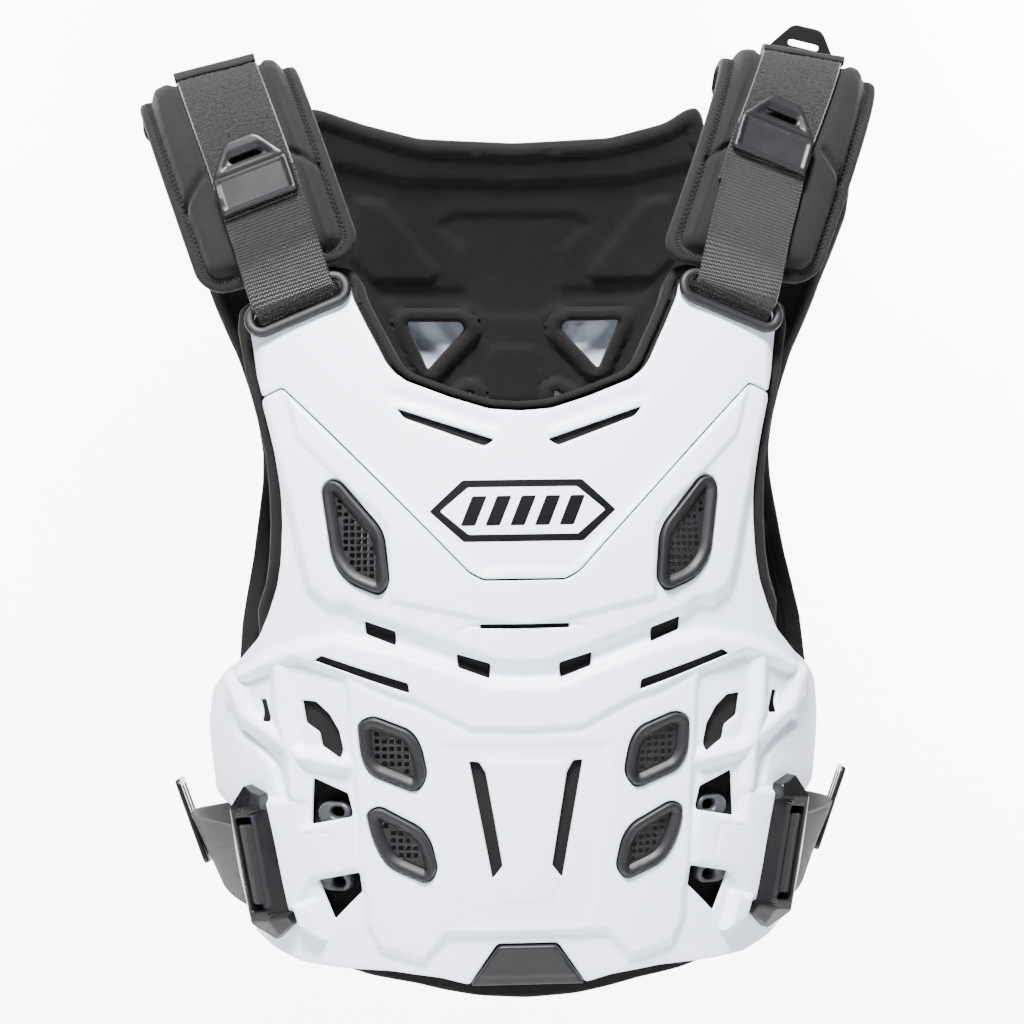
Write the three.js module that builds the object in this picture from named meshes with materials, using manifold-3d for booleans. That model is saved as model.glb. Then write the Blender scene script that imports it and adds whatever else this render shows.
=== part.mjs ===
// A roost deflector for off-road riding: a moulded chest shell and yoke over a foam liner, a back shell over
// a second liner, two padded shoulder straps with hook-and-loop ends, and an elastic strap with a hooked
// buckle at each side. Millimetres, +Z up, +X to the viewer's right, the chest faces -Y. The origin lies
// midway between the shoulders, under the ridge of the pads, where the thing hangs on its wearer.
import * as THREE from "three";
import { mergeVertices } from "three/addons/utils/BufferGeometryUtils.js";
import Module from "manifold-3d";

const wasm = await Module();
wasm.setup();

// Body sizes that the hard pieces are formed to
const CHEST_HALF_WIDTH = 188; // widest half section, at the ribs
const CHEST_DEPTH = 127; // from the arm plane to the face of the chest shell
const BACK_DEPTH = 120; // from the arm plane to the face of the back shell
const SECTION_FULLNESS = 0.8; // below 1 the sections are fuller than an ellipse

// Front and back panels
const FRONT_TOP = -122; // top of the yoke's inner corner
const FRONT_HEIGHT = 414; // from there to the lowest edge of the chest shell
const BACK_TOP = -2; // top of the back panel's shoulder wings
const BACK_HEIGHT = 520;
const BACK_SHIFT = 10; // the back panel hangs a little to the viewer's right of the chest
const SHELL_WALL = 2.6;
const LINER_WALL = 8.5;
const LINER_LIP = 6.5; // what the liner shows past the edge of its shell
const SEAT_GAP = 1.9; // between two curved sheets that lie on each other
const FIT_GAP = 0.35; // between flat or trimmed faces that meet
const SEAM_GAP = 0.8; // joint between yoke and chest shell
const CUT_PAST = FRONT_HEIGHT / 4; // how far a trimming prism runs past a panel's end
const FORM_HEIGHT = 4.5; // how far the main forms stand out of the chest shell

// Shoulders
const PAD_WIDTH = 100;
const PAD_THICKNESS = 11;
const PAD_END_RADIUS = 16;
const STRAP_WIDTH = 50;
const STRAP_THICKNESS = 2.2;
const HOOK_STRIP_THICKNESS = 2.4;
const RIDGE_HALF_DEPTH = 78; // half the front-to-back depth of the arch that the pads make
const RIDGE_HEIGHT = 150; // from the arch's springing to its ridge
const PAD_SLOPE = { left: 0.25, right: 0.17 }; // how much the pads fall towards the arm
const PAD_TOE_IN = 0.2; // how far the pads turn towards the middle of the chest
const GUIDE_LENGTH = 66;
const GUIDE_HEIGHT = 21;
const GUIDE_BAR = 5;
const GUIDE_THICKNESS = 4.2;
const TAB_LENGTH = 43;
const TAB_WIDTH = 47;
const TAB_THICKNESS = 3.4;

// Sides
const BUCKLE_HEIGHT = 92;
const BUCKLE_WIDTH = 27;
const BUCKLE_RISE = 13;
const SIDE_STRAP_WIDTH = 48;
const SIDE_STRAP_THICKNESS = 2.4;
const SIDE_STRAP_BULGE = 1; // how far the side strap stands off the body
const SLIDE_RAISED = 18; // how far the slide sits above the middle of the side strap
const LATCH_PRONG = 8;
const LATCH_DEPTH = 3.6; // how far the hooks lie under the chest shell's face

// Vents
const UPPER_VENT_LENGTH = 70;
const LOWER_VENT_LENGTH = 46;
const VENT_RIM = 4.2;
const VENT_RIM_HEIGHT = 2.2;
const VENT_NET_THICKNESS = 1.6;
const VENT_HOLE = 7.4;
const VENT_PITCH = 11.6;

const SIDES = { left: -1, right: 1 }; // as the viewer sees the chest
const RIDGE_RISE = { left: 0, right: 8 }; // the right strap is worn a little higher
const RIDGE_OUT = { left: CHEST_HALF_WIDTH - 11, right: CHEST_HALF_WIDTH - 4 }; // of a pad's ridge
const STRAP_LEAN = { left: 0.332, right: 0.39 }; // how much a strap leans out for each millimetre up
// How far the strip and the webbing lie off the middle of the pad, towards the arm, at the ridge and the tab
const STRAP_SHIFT = { left: { ridge: -1, tab: -4.7 }, right: { ridge: 2.5, tab: -8.5 } };
const FRONT_TAB_FOOT = { left: -83, right: -61 }; // height of the lower edge of each front tab
const REAR_TAB_FOOT = { left: -62, right: -2 };

// Sections of the body. down: share of the panel's height, width: share of CHEST_HALF_WIDTH,
// depth: share of the panel's depth.
const FRONT_SECTIONS = [
  { down: -0.15, width: 1.394, depth: 0.47 },
  { down: 0.007, width: 1.266, depth: 0.69 },
  { down: 0.181, width: 1.1, depth: 0.88 },
  { down: 0.377, width: 1.02, depth: 1.0 },
  { down: 0.527, width: 1.01, depth: 1.0 },
  { down: 0.686, width: 1.005, depth: 0.99 },
  { down: 0.865, width: 0.95, depth: 0.96 },
  { down: 1.06, width: 0.87, depth: 0.88 },
];
const BACK_SECTIONS = [
  { down: -0.04, width: 1.36, depth: 0.4 },
  { down: 0.03, width: 1.36, depth: 0.52 },
  { down: 0.11, width: 1.34, depth: 0.68 },
  { down: 0.23, width: 1.26, depth: 0.86 },
  { down: 0.38, width: 1.09, depth: 0.97 },
  { down: 0.53, width: 1.02, depth: 1.0 },
  { down: 0.76, width: 1.0, depth: 0.95 },
  { down: 1.05, width: 0.95, depth: 0.86 },
];

// Half outlines. across: share of CHEST_HALF_WIDTH, down: share of the panel's height.
const CHEST_SIDE = [
  { down: -0.06, across: 0.851 },
  { down: 0.068, across: 0.851 },
  { down: 0.14, across: 0.814 },
  { down: 0.176, across: 0.793 },
  { down: 0.249, across: 0.757 },
  { down: 0.297, across: 0.747 },
  { down: 0.35, across: 0.743 },
  { down: 0.406, across: 0.75 },
  { down: 0.44, across: 0.763 },
  { down: 0.478, across: 0.791 },
  { down: 0.512, across: 0.824 },
  { down: 0.543, across: 0.883 },
  { down: 0.565, across: 0.941 },
  { down: 0.589, across: 0.979 },
  { down: 0.64, across: 0.996 },
  { down: 0.744, across: 0.972 },
  { down: 0.762, across: 0.915 },
  { down: 0.913, across: 0.872 },
  { down: 0.942, across: 0.846 },
  { down: 0.961, across: 0.793 },
  { down: 0.978, across: 0.7 },
  { down: 1.01, across: 0.62 },
];
const NECK_EDGE = [
  { across: 0, down: 0.199 },
  { across: 0.096, down: 0.196 },
  { across: 0.213, down: 0.179 },
  { across: 0.346, down: 0.155 },
  { across: 0.383, down: 0.142 },
  { across: 0.407, down: 0.128 },
  { across: 0.468, down: 0.072 },
  { across: 0.505, down: 0.036 },
  { across: 0.532, down: 0.01 },
  { across: 0.564, down: -0.004 },
  { across: 0.835, down: 0.048 },
  { across: 0.872, down: 0.075 },
];
const CHEST_BOTTOM = [
  { across: 0, down: 1.0 },
  { across: 0.18, down: 1.0 },
  { across: 0.266, down: 0.993 },
  { across: 0.42, down: 0.984 },
  { across: 0.638, down: 0.981 },
  { across: 0.8, down: 0.978 },
];
const LINER_SIDE = [
  { down: 0.51, across: 0.84 },
  { down: 0.56, across: 0.8 },
  { down: 0.59, across: 0.7 },
  { down: 0.62, across: 0.53 },
  { down: 0.88, across: 0.47 },
  { down: 0.93, across: 0.56 },
  { down: 0.975, across: 0.62 },
  { down: 1.0, across: 0.56 },
  { down: 1.05, across: 0.44 },
];
const LINER_BOTTOM = [
  { across: 0, down: 1.026 },
  { across: 0.15, down: 1.022 },
  { across: 0.35, down: 1.005 },
  { across: 0.6, down: 0.985 },
  { across: 0.8, down: 0.98 },
];
const BACK_SIDE = [
  { down: -0.03, across: 1.14 },
  { down: 0.09, across: 1.17 },
  { down: 0.21, across: 1.08 },
  { down: 0.31, across: 0.97 },
  { down: 0.38, across: 0.915 },
  { down: 0.46, across: 0.9 },
  { down: 0.55, across: 0.935 },
  { down: 0.63, across: 0.975 },
  { down: 0.76, across: 0.985 },
  { down: 0.9, across: 0.93 },
  { down: 0.96, across: 0.87 },
  { down: 1.02, across: 0.6 },
];
const BACK_TOP_EDGE = [
  { across: 0, down: 0.035 },
  { across: 0.33, down: 0.03 },
  { across: 0.52, down: 0.014 },
  { across: 0.66, down: -0.004 },
  { across: 0.71, down: -0.004 },
  { across: 0.75, down: 0.024 },
  { across: 1.12, down: 0.075 },
  { across: 1.2, down: 0.12 },
];
const BACK_BOTTOM_EDGE = [
  { across: 0, down: 1.0 },
  { across: 0.45, down: 0.995 },
  { across: 0.66, down: 0.985 },
  { across: 0.85, down: 0.96 },
  { across: 1.1, down: 0.93 },
];

// Joint between yoke and chest shell, from the arm edge to the middle
const SEAM = [
  { across: 0.9, down: 0.183 },
  { across: 0.79, down: 0.172 },
  { across: 0.726, down: 0.159 },
  { across: 0.167, down: 0.421 },
  { across: 0.124, down: 0.432 },
  { across: 0, down: 0.432 },
];

// Raised forms of the chest shell: half outlines, and their height as a share of FORM_HEIGHT
const FORMS = [
  {
    height: 1,
    outline: [
      { across: 0, down: -0.1 },
      { across: 0.76, down: -0.1 },
      { across: 0.73, down: 0.163 },
      { across: 0.663, down: 0.249 },
      { across: 0.677, down: 0.355 },
      { across: 0.645, down: 0.449 },
      { across: 0.589, down: 0.499 },
      { across: 0.486, down: 0.479 },
      { across: 0.368, down: 0.499 },
      { across: 0.207, down: 0.516 },
      { across: 0, down: 0.555 },
    ],
  },
  {
    height: 1,
    outline: [
      { across: 0, down: 0.602 },
      { across: 0.207, down: 0.586 },
      { across: 0.339, down: 0.569 },
      { across: 0.633, down: 0.525 },
      { across: 0.707, down: 0.525 },
      { across: 0.88, down: 0.557 },
      { across: 0.88, down: 0.585 },
      { across: 0.72, down: 0.556 },
      { across: 0.648, down: 0.556 },
      { across: 0.339, down: 0.606 },
      { across: 0.207, down: 0.639 },
      { across: 0, down: 0.662 },
    ],
  },
  {
    height: 0.6,
    outline: [
      { across: 0, down: 0.662 },
      { across: 0.339, down: 0.606 },
      { across: 0.53, down: 0.622 },
      { across: 0.516, down: 0.702 },
      { across: 0.494, down: 0.843 },
      { across: 0.464, down: 0.936 },
      { across: 0.398, down: 0.959 },
      { across: 0.31, down: 0.959 },
      { across: 0.207, down: 0.926 },
      { across: 0, down: 0.923 },
    ],
  },
];
const FORM_EDGE = 9; // width of a form's sloping edge

// Slots and windows through the chest shell: half outlines, each cut on both sides
const SLOTS = {
  neck_slot: [
    { across: 0.378, down: 0.193 },
    { across: 0.081, down: 0.239 },
    { across: 0.112, down: 0.248 },
    { across: 0.354, down: 0.207 },
  ],
  upper_step_slot: [
    { across: 0.49, down: 0.488 },
    { across: 0.395, down: 0.503 },
    { across: 0.395, down: 0.523 },
    { across: 0.487, down: 0.507 },
  ],
  lower_step_slot: [
    { across: 0.209, down: 0.535 },
    { across: 0.106, down: 0.549 },
    { across: 0.109, down: 0.57 },
    { across: 0.205, down: 0.554 },
  ],
  belt_slot: [
    { across: 0.638, down: 0.543 },
    { across: 0.615, down: 0.536 },
    { across: 0.355, down: 0.575 },
    { across: 0.35, down: 0.589 },
  ],
  middle_slot: [
    { across: 0.174, down: 0.685 },
    { across: 0.145, down: 0.686 },
    { across: 0.124, down: 0.702 },
    { across: 0.076, down: 0.832 },
    { across: 0.107, down: 0.85 },
  ],
  side_slot: [
    { across: 0.823, down: 0.6 },
    { across: 0.8, down: 0.6 },
    { across: 0.785, down: 0.632 },
    { across: 0.806, down: 0.632 },
  ],
  side_window: [
    { across: 0.688, down: 0.6 },
    { across: 0.645, down: 0.602 },
    { across: 0.604, down: 0.619 },
    { across: 0.562, down: 0.668 },
    { across: 0.567, down: 0.681 },
    { across: 0.627, down: 0.665 },
    { across: 0.636, down: 0.645 },
    { across: 0.677, down: 0.632 },
  ],
  upper_latch_window: [
    { across: 0.656, down: 0.71 },
    { across: 0.55, down: 0.731 },
    { across: 0.533, down: 0.763 },
    { across: 0.663, down: 0.776 },
  ],
  lower_latch_window: [
    { across: 0.645, down: 0.856 },
    { across: 0.515, down: 0.843 },
    { across: 0.509, down: 0.87 },
    { across: 0.596, down: 0.912 },
  ],
};
const MIDDLE_LINE_SLOT = { halfWidth: 25.5, height: 2.6, down: 0.496 };

// Vent outlines as shares of the vent's length, and where each vent sits
const UPPER_VENT_SHAPE = [
  [0.29, 0.4],
  [0.22, 0.49],
  [0.12, 0.47],
  [-0.22, 0.09],
  [-0.265, -0.01],
  [-0.31, -0.38],
  [-0.23, -0.48],
  [0.05, -0.37],
  [0.19, -0.19],
];
const MID_VENT_SHAPE = [
  [0.42, 0.4],
  [0.22, 0.5],
  [-0.28, 0.31],
  [-0.4, 0.12],
  [-0.48, -0.28],
  [-0.33, -0.48],
  [0.26, -0.25],
  [0.38, -0.05],
];
const LOW_VENT_SHAPE = [
  [0.42, 0.4],
  [0.24, 0.5],
  [-0.3, 0.22],
  [-0.42, 0.04],
  [-0.5, -0.34],
  [-0.36, -0.5],
  [0.16, -0.28],
  [0.34, 0.04],
];
const VENTS = {
  upper: { shape: UPPER_VENT_SHAPE, length: UPPER_VENT_LENGTH, across: 0.51, down: 0.372 },
  mid: { shape: MID_VENT_SHAPE, length: LOWER_VENT_LENGTH, across: 0.413, down: 0.675 },
  low: { shape: LOW_VENT_SHAPE, length: LOWER_VENT_LENGTH, across: 0.39, down: 0.801 },
};

// Windows and slots of the back panel
const BACK_WINDOWS = {
  upper_window: [
    { across: 0.36, down: 0.262 },
    { across: 0.16, down: 0.262 },
    { across: 0.145, down: 0.27 },
    { across: 0.285, down: 0.325 },
  ],
  lower_window: [
    { across: 0.15, down: 0.385 },
    { across: 0.15, down: 0.345 },
    { across: 0.27, down: 0.375 },
    { across: 0.36, down: 0.44 },
  ],
  waist_window: [
    { across: 0.16, down: 0.56 },
    { across: 0.4, down: 0.53 },
    { across: 0.36, down: 0.6 },
    { across: 0.18, down: 0.63 },
  ],
};
const BACK_SHELL_SLOTS = {
  shoulder_slot: [
    { across: 0.3, down: 0.2 },
    { across: 0.33, down: 0.185 },
    { across: 0.72, down: 0.235 },
    { across: 0.7, down: 0.25 },
  ],
  spine_slot: [
    { across: 0.13, down: 0.66 },
    { across: 0.17, down: 0.65 },
    { across: 0.25, down: 0.82 },
    { across: 0.21, down: 0.84 },
  ],
  rib_slot: [
    { across: 0.35, down: 0.7 },
    { across: 0.36, down: 0.68 },
    { across: 0.7, down: 0.62 },
    { across: 0.69, down: 0.64 },
  ],
};

const COLOURS = {
  white_plastic: { color: 0xe9ebf0, roughness: 0.38, metalness: 0 },
  black_foam: { color: 0x17161a, roughness: 0.9, metalness: 0 },
  black_cloth: { color: 0x1c1b1f, roughness: 0.95, metalness: 0 },
  webbing: { color: 0x1a1a1c, roughness: 0.8, metalness: 0 },
  hook_and_loop: { color: 0x101011, roughness: 1, metalness: 0 },
  black_plastic: { color: 0x26262a, roughness: 0.45, metalness: 0 },
  grey_plastic: { color: 0x4a4b50, roughness: 0.5, metalness: 0 },
};
const materials = Object.fromEntries(
  Object.entries(COLOURS).map(([name, look]) => [name, new THREE.MeshStandardMaterial({ name, ...look })]),
);

const group = new THREE.Group();
const FRONT = {
  sections: FRONT_SECTIONS,
  top: FRONT_TOP,
  height: FRONT_HEIGHT,
  depth: CHEST_DEPTH,
  facing: -1,
  shift: 0,
};
const BACK = {
  sections: BACK_SECTIONS,
  top: BACK_TOP,
  height: BACK_HEIGHT,
  depth: BACK_DEPTH,
  facing: 1,
  shift: BACK_SHIFT,
};

const zAt = (panel, down) => panel.top - down * panel.height;
const place = (panel) => (p) => [p.across * CHEST_HALF_WIDTH, zAt(panel, p.down)];

// Value of one column of a table at a share `down`, on a smooth curve through its rows
function column(rows, name, down) {
  const last = rows.length - 1;
  const d = Math.min(Math.max(down, rows[0].down), rows[last].down);
  let i = 0;
  while (i < last - 1 && rows[i + 1].down < d) i += 1;
  const slope = (k) => {
    const a = rows[Math.max(k - 1, 0)];
    const b = rows[Math.min(k + 1, last)];
    return (b[name] - a[name]) / (b.down - a.down);
  };
  const span = rows[i + 1].down - rows[i].down;
  const t = (d - rows[i].down) / span;
  const rise = rows[i + 1][name] - rows[i][name];
  const bend = t * t * (3 - 2 * t);
  return (
    rows[i][name] +
    rise * bend +
    span * (slope(i) * (t ** 3 - 2 * t * t + t) + slope(i + 1) * (t ** 3 - t * t))
  );
}

// Straight-line value of one column, for outlines
function outlineAt(rows, name, down) {
  const last = rows.length - 1;
  if (down <= rows[0].down) return rows[0][name];
  for (let i = 0; i < last; i += 1) {
    if (down <= rows[i + 1].down) {
      const t = (down - rows[i].down) / (rows[i + 1].down - rows[i].down);
      return rows[i][name] + t * (rows[i + 1][name] - rows[i][name]);
    }
  }
  return rows[last][name];
}

// A point of a panel's face: x across and z up as seen from the front, `out` millimetres off the face
function facePoint(panel, x, z, out = 0) {
  const down = (panel.top - z) / panel.height;
  const at = (px, pz) => {
    const d = (panel.top - pz) / panel.height;
    const half = column(panel.sections, "width", d) * CHEST_HALF_WIDTH;
    const deep = column(panel.sections, "depth", d) * panel.depth;
    const share = Math.min(Math.abs(px) / half, 0.9995);
    const y = panel.facing * deep * Math.sqrt(1 - share * share) ** SECTION_FULLNESS;
    return new THREE.Vector3(px, y, pz);
  };
  const half = column(panel.sections, "width", down) * CHEST_HALF_WIDTH;
  const px = Math.sign(x) * Math.min(Math.abs(x), half * 0.9965);
  const step = 0.3;
  const towards = px > 0 ? -step : step;
  const p = at(px, z);
  const alongX = at(px + towards, z).sub(p).multiplyScalar(Math.sign(towards));
  const alongZ = at(px, z + step).sub(at(px, z - step));
  const normal = alongX.cross(alongZ).normalize();
  if (normal.y * panel.facing < 0) normal.negate();
  p.x += panel.shift;
  return { point: p.addScaledVector(normal, out), normal };
}

// The frame on a panel's face at x, z: local X runs to the viewer's right, Y up, Z out of the face
function faceFrame(panel, x, z, out = 0, turn = 0) {
  const { point, normal } = facePoint(panel, x, z, out);
  const across = new THREE.Vector3(0, 0, 1).cross(normal).normalize();
  const up = normal.clone().cross(across);
  return new THREE.Matrix4()
    .makeBasis(across, up, normal)
    .setPosition(point)
    .multiply(new THREE.Matrix4().makeRotationZ(turn));
}

// Signed distance from a point to a closed outline, positive inside
function depthInside(outline, x, z) {
  let nearest = Infinity;
  let inside = false;
  outline.forEach(([ax, az], i) => {
    const [bx, bz] = outline[(i + 1) % outline.length];
    const t = ((x - ax) * (bx - ax) + (z - az) * (bz - az)) / ((bx - ax) ** 2 + (bz - az) ** 2);
    const s = Math.min(Math.max(t, 0), 1);
    nearest = Math.min(nearest, Math.hypot(x - ax - s * (bx - ax), z - az - s * (bz - az)));
    if (az > z !== bz > z && x < ((bx - ax) * (z - az)) / (bz - az) + ax) inside = !inside;
  });
  return inside ? nearest : -nearest;
}

const formOutlines = FORMS.map((form) => {
  const half = form.outline.map(place(FRONT));
  const mirrored = half
    .filter(([x]) => x > 0)
    .map(([x, z]) => [-x, z])
    .reverse();
  return { height: form.height * FORM_HEIGHT, outline: [...half, ...mirrored] };
});

// How far the chest shell stands off its lowest surface at x, z
function chestForm(x, z) {
  return formOutlines.reduce((height, form) => {
    const t = depthInside(form.outline, x, z) / FORM_EDGE + 0.5;
    const s = Math.min(Math.max(t, 0), 1);
    return Math.max(height, form.height * s * s * (3 - 2 * s));
  }, 0);
}

const vectors = (points) => points.map(([x, y]) => new THREE.Vector2(x, y));

function solidOf(geometry) {
  const bare = geometry.clone();
  bare.deleteAttribute("normal");
  bare.deleteAttribute("uv");
  const merged = mergeVertices(bare, 1e-4);
  return new wasm.Manifold(
    new wasm.Mesh({
      numProp: 3,
      vertProperties: merged.attributes.position.array,
      triVerts: new Uint32Array(merged.index.array),
    }),
  );
}

function addPiece(name, solid, material) {
  const { numProp, vertProperties, triVerts } = solid.getMesh();
  const positions = new Float32Array((vertProperties.length / numProp) * 3);
  for (let i = 0; i * numProp < vertProperties.length; i += 1) {
    positions.set(vertProperties.subarray(i * numProp, i * numProp + 3), i * 3);
  }
  const geometry = new THREE.BufferGeometry()
    .setAttribute("position", new THREE.BufferAttribute(positions, 3))
    .setIndex(new THREE.BufferAttribute(triVerts, 1));
  geometry.computeVertexNormals();
  const mesh = new THREE.Mesh(geometry, materials[material]);
  mesh.name = name;
  group.add(mesh);
  return solid;
}

// A closed sheet between two surfaces, each given as a point for every node of a rows by columns grid
function sheetSolid(rows, columns, outer, inner) {
  const points = [];
  [outer, inner].forEach((surface) => {
    for (let i = 0; i <= rows; i += 1) {
      for (let j = 0; j <= columns; j += 1) points.push(...surface(i / rows, j / columns).toArray());
    }
  });
  const at = (layer, i, j) => layer * (rows + 1) * (columns + 1) + i * (columns + 1) + j;
  const faces = [];
  const quad = (a, b, c, d) => faces.push(a, b, c, a, c, d);
  for (let i = 0; i < rows; i += 1) {
    for (let j = 0; j < columns; j += 1) {
      quad(at(0, i, j), at(0, i, j + 1), at(0, i + 1, j + 1), at(0, i + 1, j));
      quad(at(1, i, j), at(1, i + 1, j), at(1, i + 1, j + 1), at(1, i, j + 1));
    }
    quad(at(0, i, 0), at(0, i + 1, 0), at(1, i + 1, 0), at(1, i, 0));
    quad(at(0, i, columns), at(1, i, columns), at(1, i + 1, columns), at(0, i + 1, columns));
  }
  for (let j = 0; j < columns; j += 1) {
    quad(at(0, 0, j), at(1, 0, j), at(1, 0, j + 1), at(0, 0, j + 1));
    quad(at(0, rows, j), at(0, rows, j + 1), at(1, rows, j + 1), at(1, rows, j));
  }
  const geometry = new THREE.BufferGeometry()
    .setAttribute("position", new THREE.BufferAttribute(new Float32Array(points), 3))
    .setIndex(faces);
  const solid = solidOf(geometry);
  if (solid.volume() > 0) return solid;
  for (let i = 0; i < faces.length; i += 3) [faces[i], faces[i + 1]] = [faces[i + 1], faces[i]];
  return solidOf(geometry.setIndex(faces));
}

// A sheet formed to a panel's face, from its bottom to its top and out to the side edge given by `edge`
function panelSheet(panel, { top, bottom, rows, columns, edge, outside, wall, form = () => 0 }) {
  const surface = (extra) => (v, u) => {
    const z = bottom + (top - bottom) * v;
    const half = column(panel.sections, "width", (panel.top - z) / panel.height) * CHEST_HALF_WIDTH;
    const reach = Math.asin(Math.min(edge(z) / half, 0.9965));
    const x = half * Math.sin((2 * u - 1) * reach);
    return facePoint(panel, x, z, outside + extra + form(x, z)).point;
  };
  return sheetSolid(rows, columns, surface(0), surface(-wall));
}

// A prism of an x, z outline, running along Y from the arm plane out through a panel
function throughPrism(panel, outline) {
  const shape = new THREE.Shape(vectors(outline));
  const length = 2 * panel.depth;
  const geometry = new THREE.ExtrudeGeometry(shape, { depth: length, bevelEnabled: false, curveSegments: 6 });
  geometry.rotateX(Math.PI / 2);
  geometry.translate(panel.shift, panel.facing > 0 ? length : 0, 0);
  return solidOf(geometry);
}

const mirrorOutline = (outline) => outline.map(([x, z]) => [-x, z]).reverse();

// An open half outline and its mirror image, closed by a line at height z
function closedAt(half, z) {
  const mirrored = mirrorOutline(half.filter(([x]) => x > 0));
  const outer = half[half.length - 1][0] + 4 * LINER_LIP;
  const level = half[half.length - 1][1];
  return [[-outer, z], [-outer, level], ...mirrored, ...half, [outer, level], [outer, z]];
}

// An open line of points moved sideways by `distance`, to its left as it runs
function offsetLine(line, distance) {
  return line.map(([x, z], i) => {
    const [ax, az] = line[Math.max(i - 1, 0)];
    const [bx, bz] = line[Math.min(i + 1, line.length - 1)];
    const length = Math.hypot(bx - ax, bz - az);
    const shifted = [x - (distance * (bz - az)) / length, z + (distance * (bx - ax)) / length];
    return x === 0 ? [0, shifted[1]] : shifted;
  });
}

const union = (solids) => solids.reduce((all, solid) => all.add(solid));

// The same outline, always running anticlockwise
const leftward = (points) => (THREE.ShapeUtils.area(vectors(points)) > 0 ? points : [...points].reverse());

// A flat outline in the face frame, as a slab from `low` to `high` along the frame's Z
function faceSlab(frame, points, low, high, holes = []) {
  const shape = new THREE.Shape(vectors(leftward(points)));
  holes.forEach((hole) => shape.holes.push(new THREE.Path(vectors(leftward(hole)))));
  const geometry = new THREE.ExtrudeGeometry(shape, { depth: high - low, bevelEnabled: false });
  geometry.translate(0, 0, low);
  return solidOf(geometry.applyMatrix4(frame));
}

// A closed outline grown outwards by `distance` (inwards if negative), its corners mitred
function grown(points, distance) {
  const turn = THREE.ShapeUtils.area(vectors(points)) > 0 ? 1 : -1;
  const n = points.length;
  return points.map(([x, y], i) => {
    const [px, py] = points[(i + n - 1) % n];
    const [qx, qy] = points[(i + 1) % n];
    const first = new THREE.Vector2(y - py, px - x).normalize();
    const second = new THREE.Vector2(qy - y, x - qx).normalize();
    const mitre = first.clone().add(second);
    mitre.multiplyScalar((2 * distance * turn) / mitre.lengthSq());
    return [x + mitre.x, y + mitre.y];
  });
}

// A convex outline cut back by `distance` along each of its edges
function insetConvex(points, distance) {
  const turn = THREE.ShapeUtils.area(vectors(points)) > 0 ? 1 : -1;
  return points.reduce((kept, [ax, ay], i) => {
    const [bx, by] = points[(i + 1) % points.length];
    const length = Math.hypot(bx - ax, by - ay);
    const depth = ([x, y]) => (turn * ((bx - ax) * (y - ay) - (by - ay) * (x - ax))) / length - distance;
    return kept.flatMap((p, k) => {
      const q = kept[(k + 1) % kept.length];
      const [dp, dq] = [depth(p), depth(q)];
      const t = dp / (dp - dq);
      const crossing = dp * dq < 0 ? [[p[0] + t * (q[0] - p[0]), p[1] + t * (q[1] - p[1])]] : [];
      return dp >= 0 ? [p, ...crossing] : crossing;
    });
  }, points);
}

// A rounded bar: a rectangle with corners of radius `radius`
function roundedBar(length, height, radius, steps = 4) {
  const points = [];
  const r = Math.min(radius, length / 2 - 0.05, height / 2 - 0.05);
  for (let corner = 0; corner < 4; corner += 1) {
    const cx = (length / 2 - r) * (corner === 0 || corner === 3 ? 1 : -1);
    const cy = (height / 2 - r) * (corner < 2 ? 1 : -1);
    for (let k = 0; k <= steps; k += 1) {
      const angle = ((corner + k / steps) * Math.PI) / 2;
      points.push([cx + r * Math.cos(angle), cy + r * Math.sin(angle)]);
    }
  }
  return points;
}

// Where the strap guides sit, and how they are turned
const GUIDE = { across: 0.676, down: 0.043, turn: 0.4 };
const REAR_GUIDE = { across: 0.82, down: 0.19, turn: 0.3 };

function guideFrame(side, rear = false) {
  const panel = rear ? BACK : FRONT;
  const seat = rear ? REAR_GUIDE : GUIDE;
  const facing = rear ? -1 : 1;
  return faceFrame(
    panel,
    side * seat.across * CHEST_HALF_WIDTH,
    zAt(panel, seat.down),
    0,
    -side * facing * seat.turn,
  );
}

const sideEdge = (panel, table, lip = 0) => (z) =>
  outlineAt(table, "across", (panel.top - z) / panel.height) * CHEST_HALF_WIDTH + lip;

function guideHole(frame, wide) {
  const outline = roundedBar(GUIDE_LENGTH - GUIDE_BAR + wide, GUIDE_HEIGHT - 2 * GUIDE_BAR + wide, 4, 1);
  return faceSlab(frame, outline, -2 * LINER_WALL, 2 * LINER_WALL);
}

function ventFrame(side, vent) {
  return faceFrame(FRONT, side * vent.across * CHEST_HALF_WIDTH, zAt(FRONT, vent.down), 0);
}

const ventOutline = (side, vent) => vent.shape.map(([x, y]) => [side * x * vent.length, y * vent.length]);

function ventHole(side, vent, inset) {
  const outline = insetConvex(ventOutline(side, vent), inset);
  return faceSlab(ventFrame(side, vent), outline, -3 * LINER_WALL, 3 * LINER_WALL);
}

function bothSides(make) {
  return union(Object.values(SIDES).map(make));
}

const allVents = Object.values(VENTS);
const neckEdge = NECK_EDGE.map(place(FRONT));
const chestBottom = CHEST_BOTTOM.map(place(FRONT));
const neckSpace = throughPrism(FRONT, closedAt(neckEdge, FRONT_TOP + CUT_PAST));
const bottomSpace = throughPrism(FRONT, closedAt(chestBottom, FRONT_TOP - FRONT_HEIGHT - CUT_PAST));
const BADGE = [
  { across: 0.178, down: 1.004 },
  { across: 0.094, down: 0.949 },
  { across: 0.084, down: 0.946 },
];
const badgeHalf = BADGE.map(place(FRONT));
const badgeOutline = [...badgeHalf, ...mirrorOutline(badgeHalf)];

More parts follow.
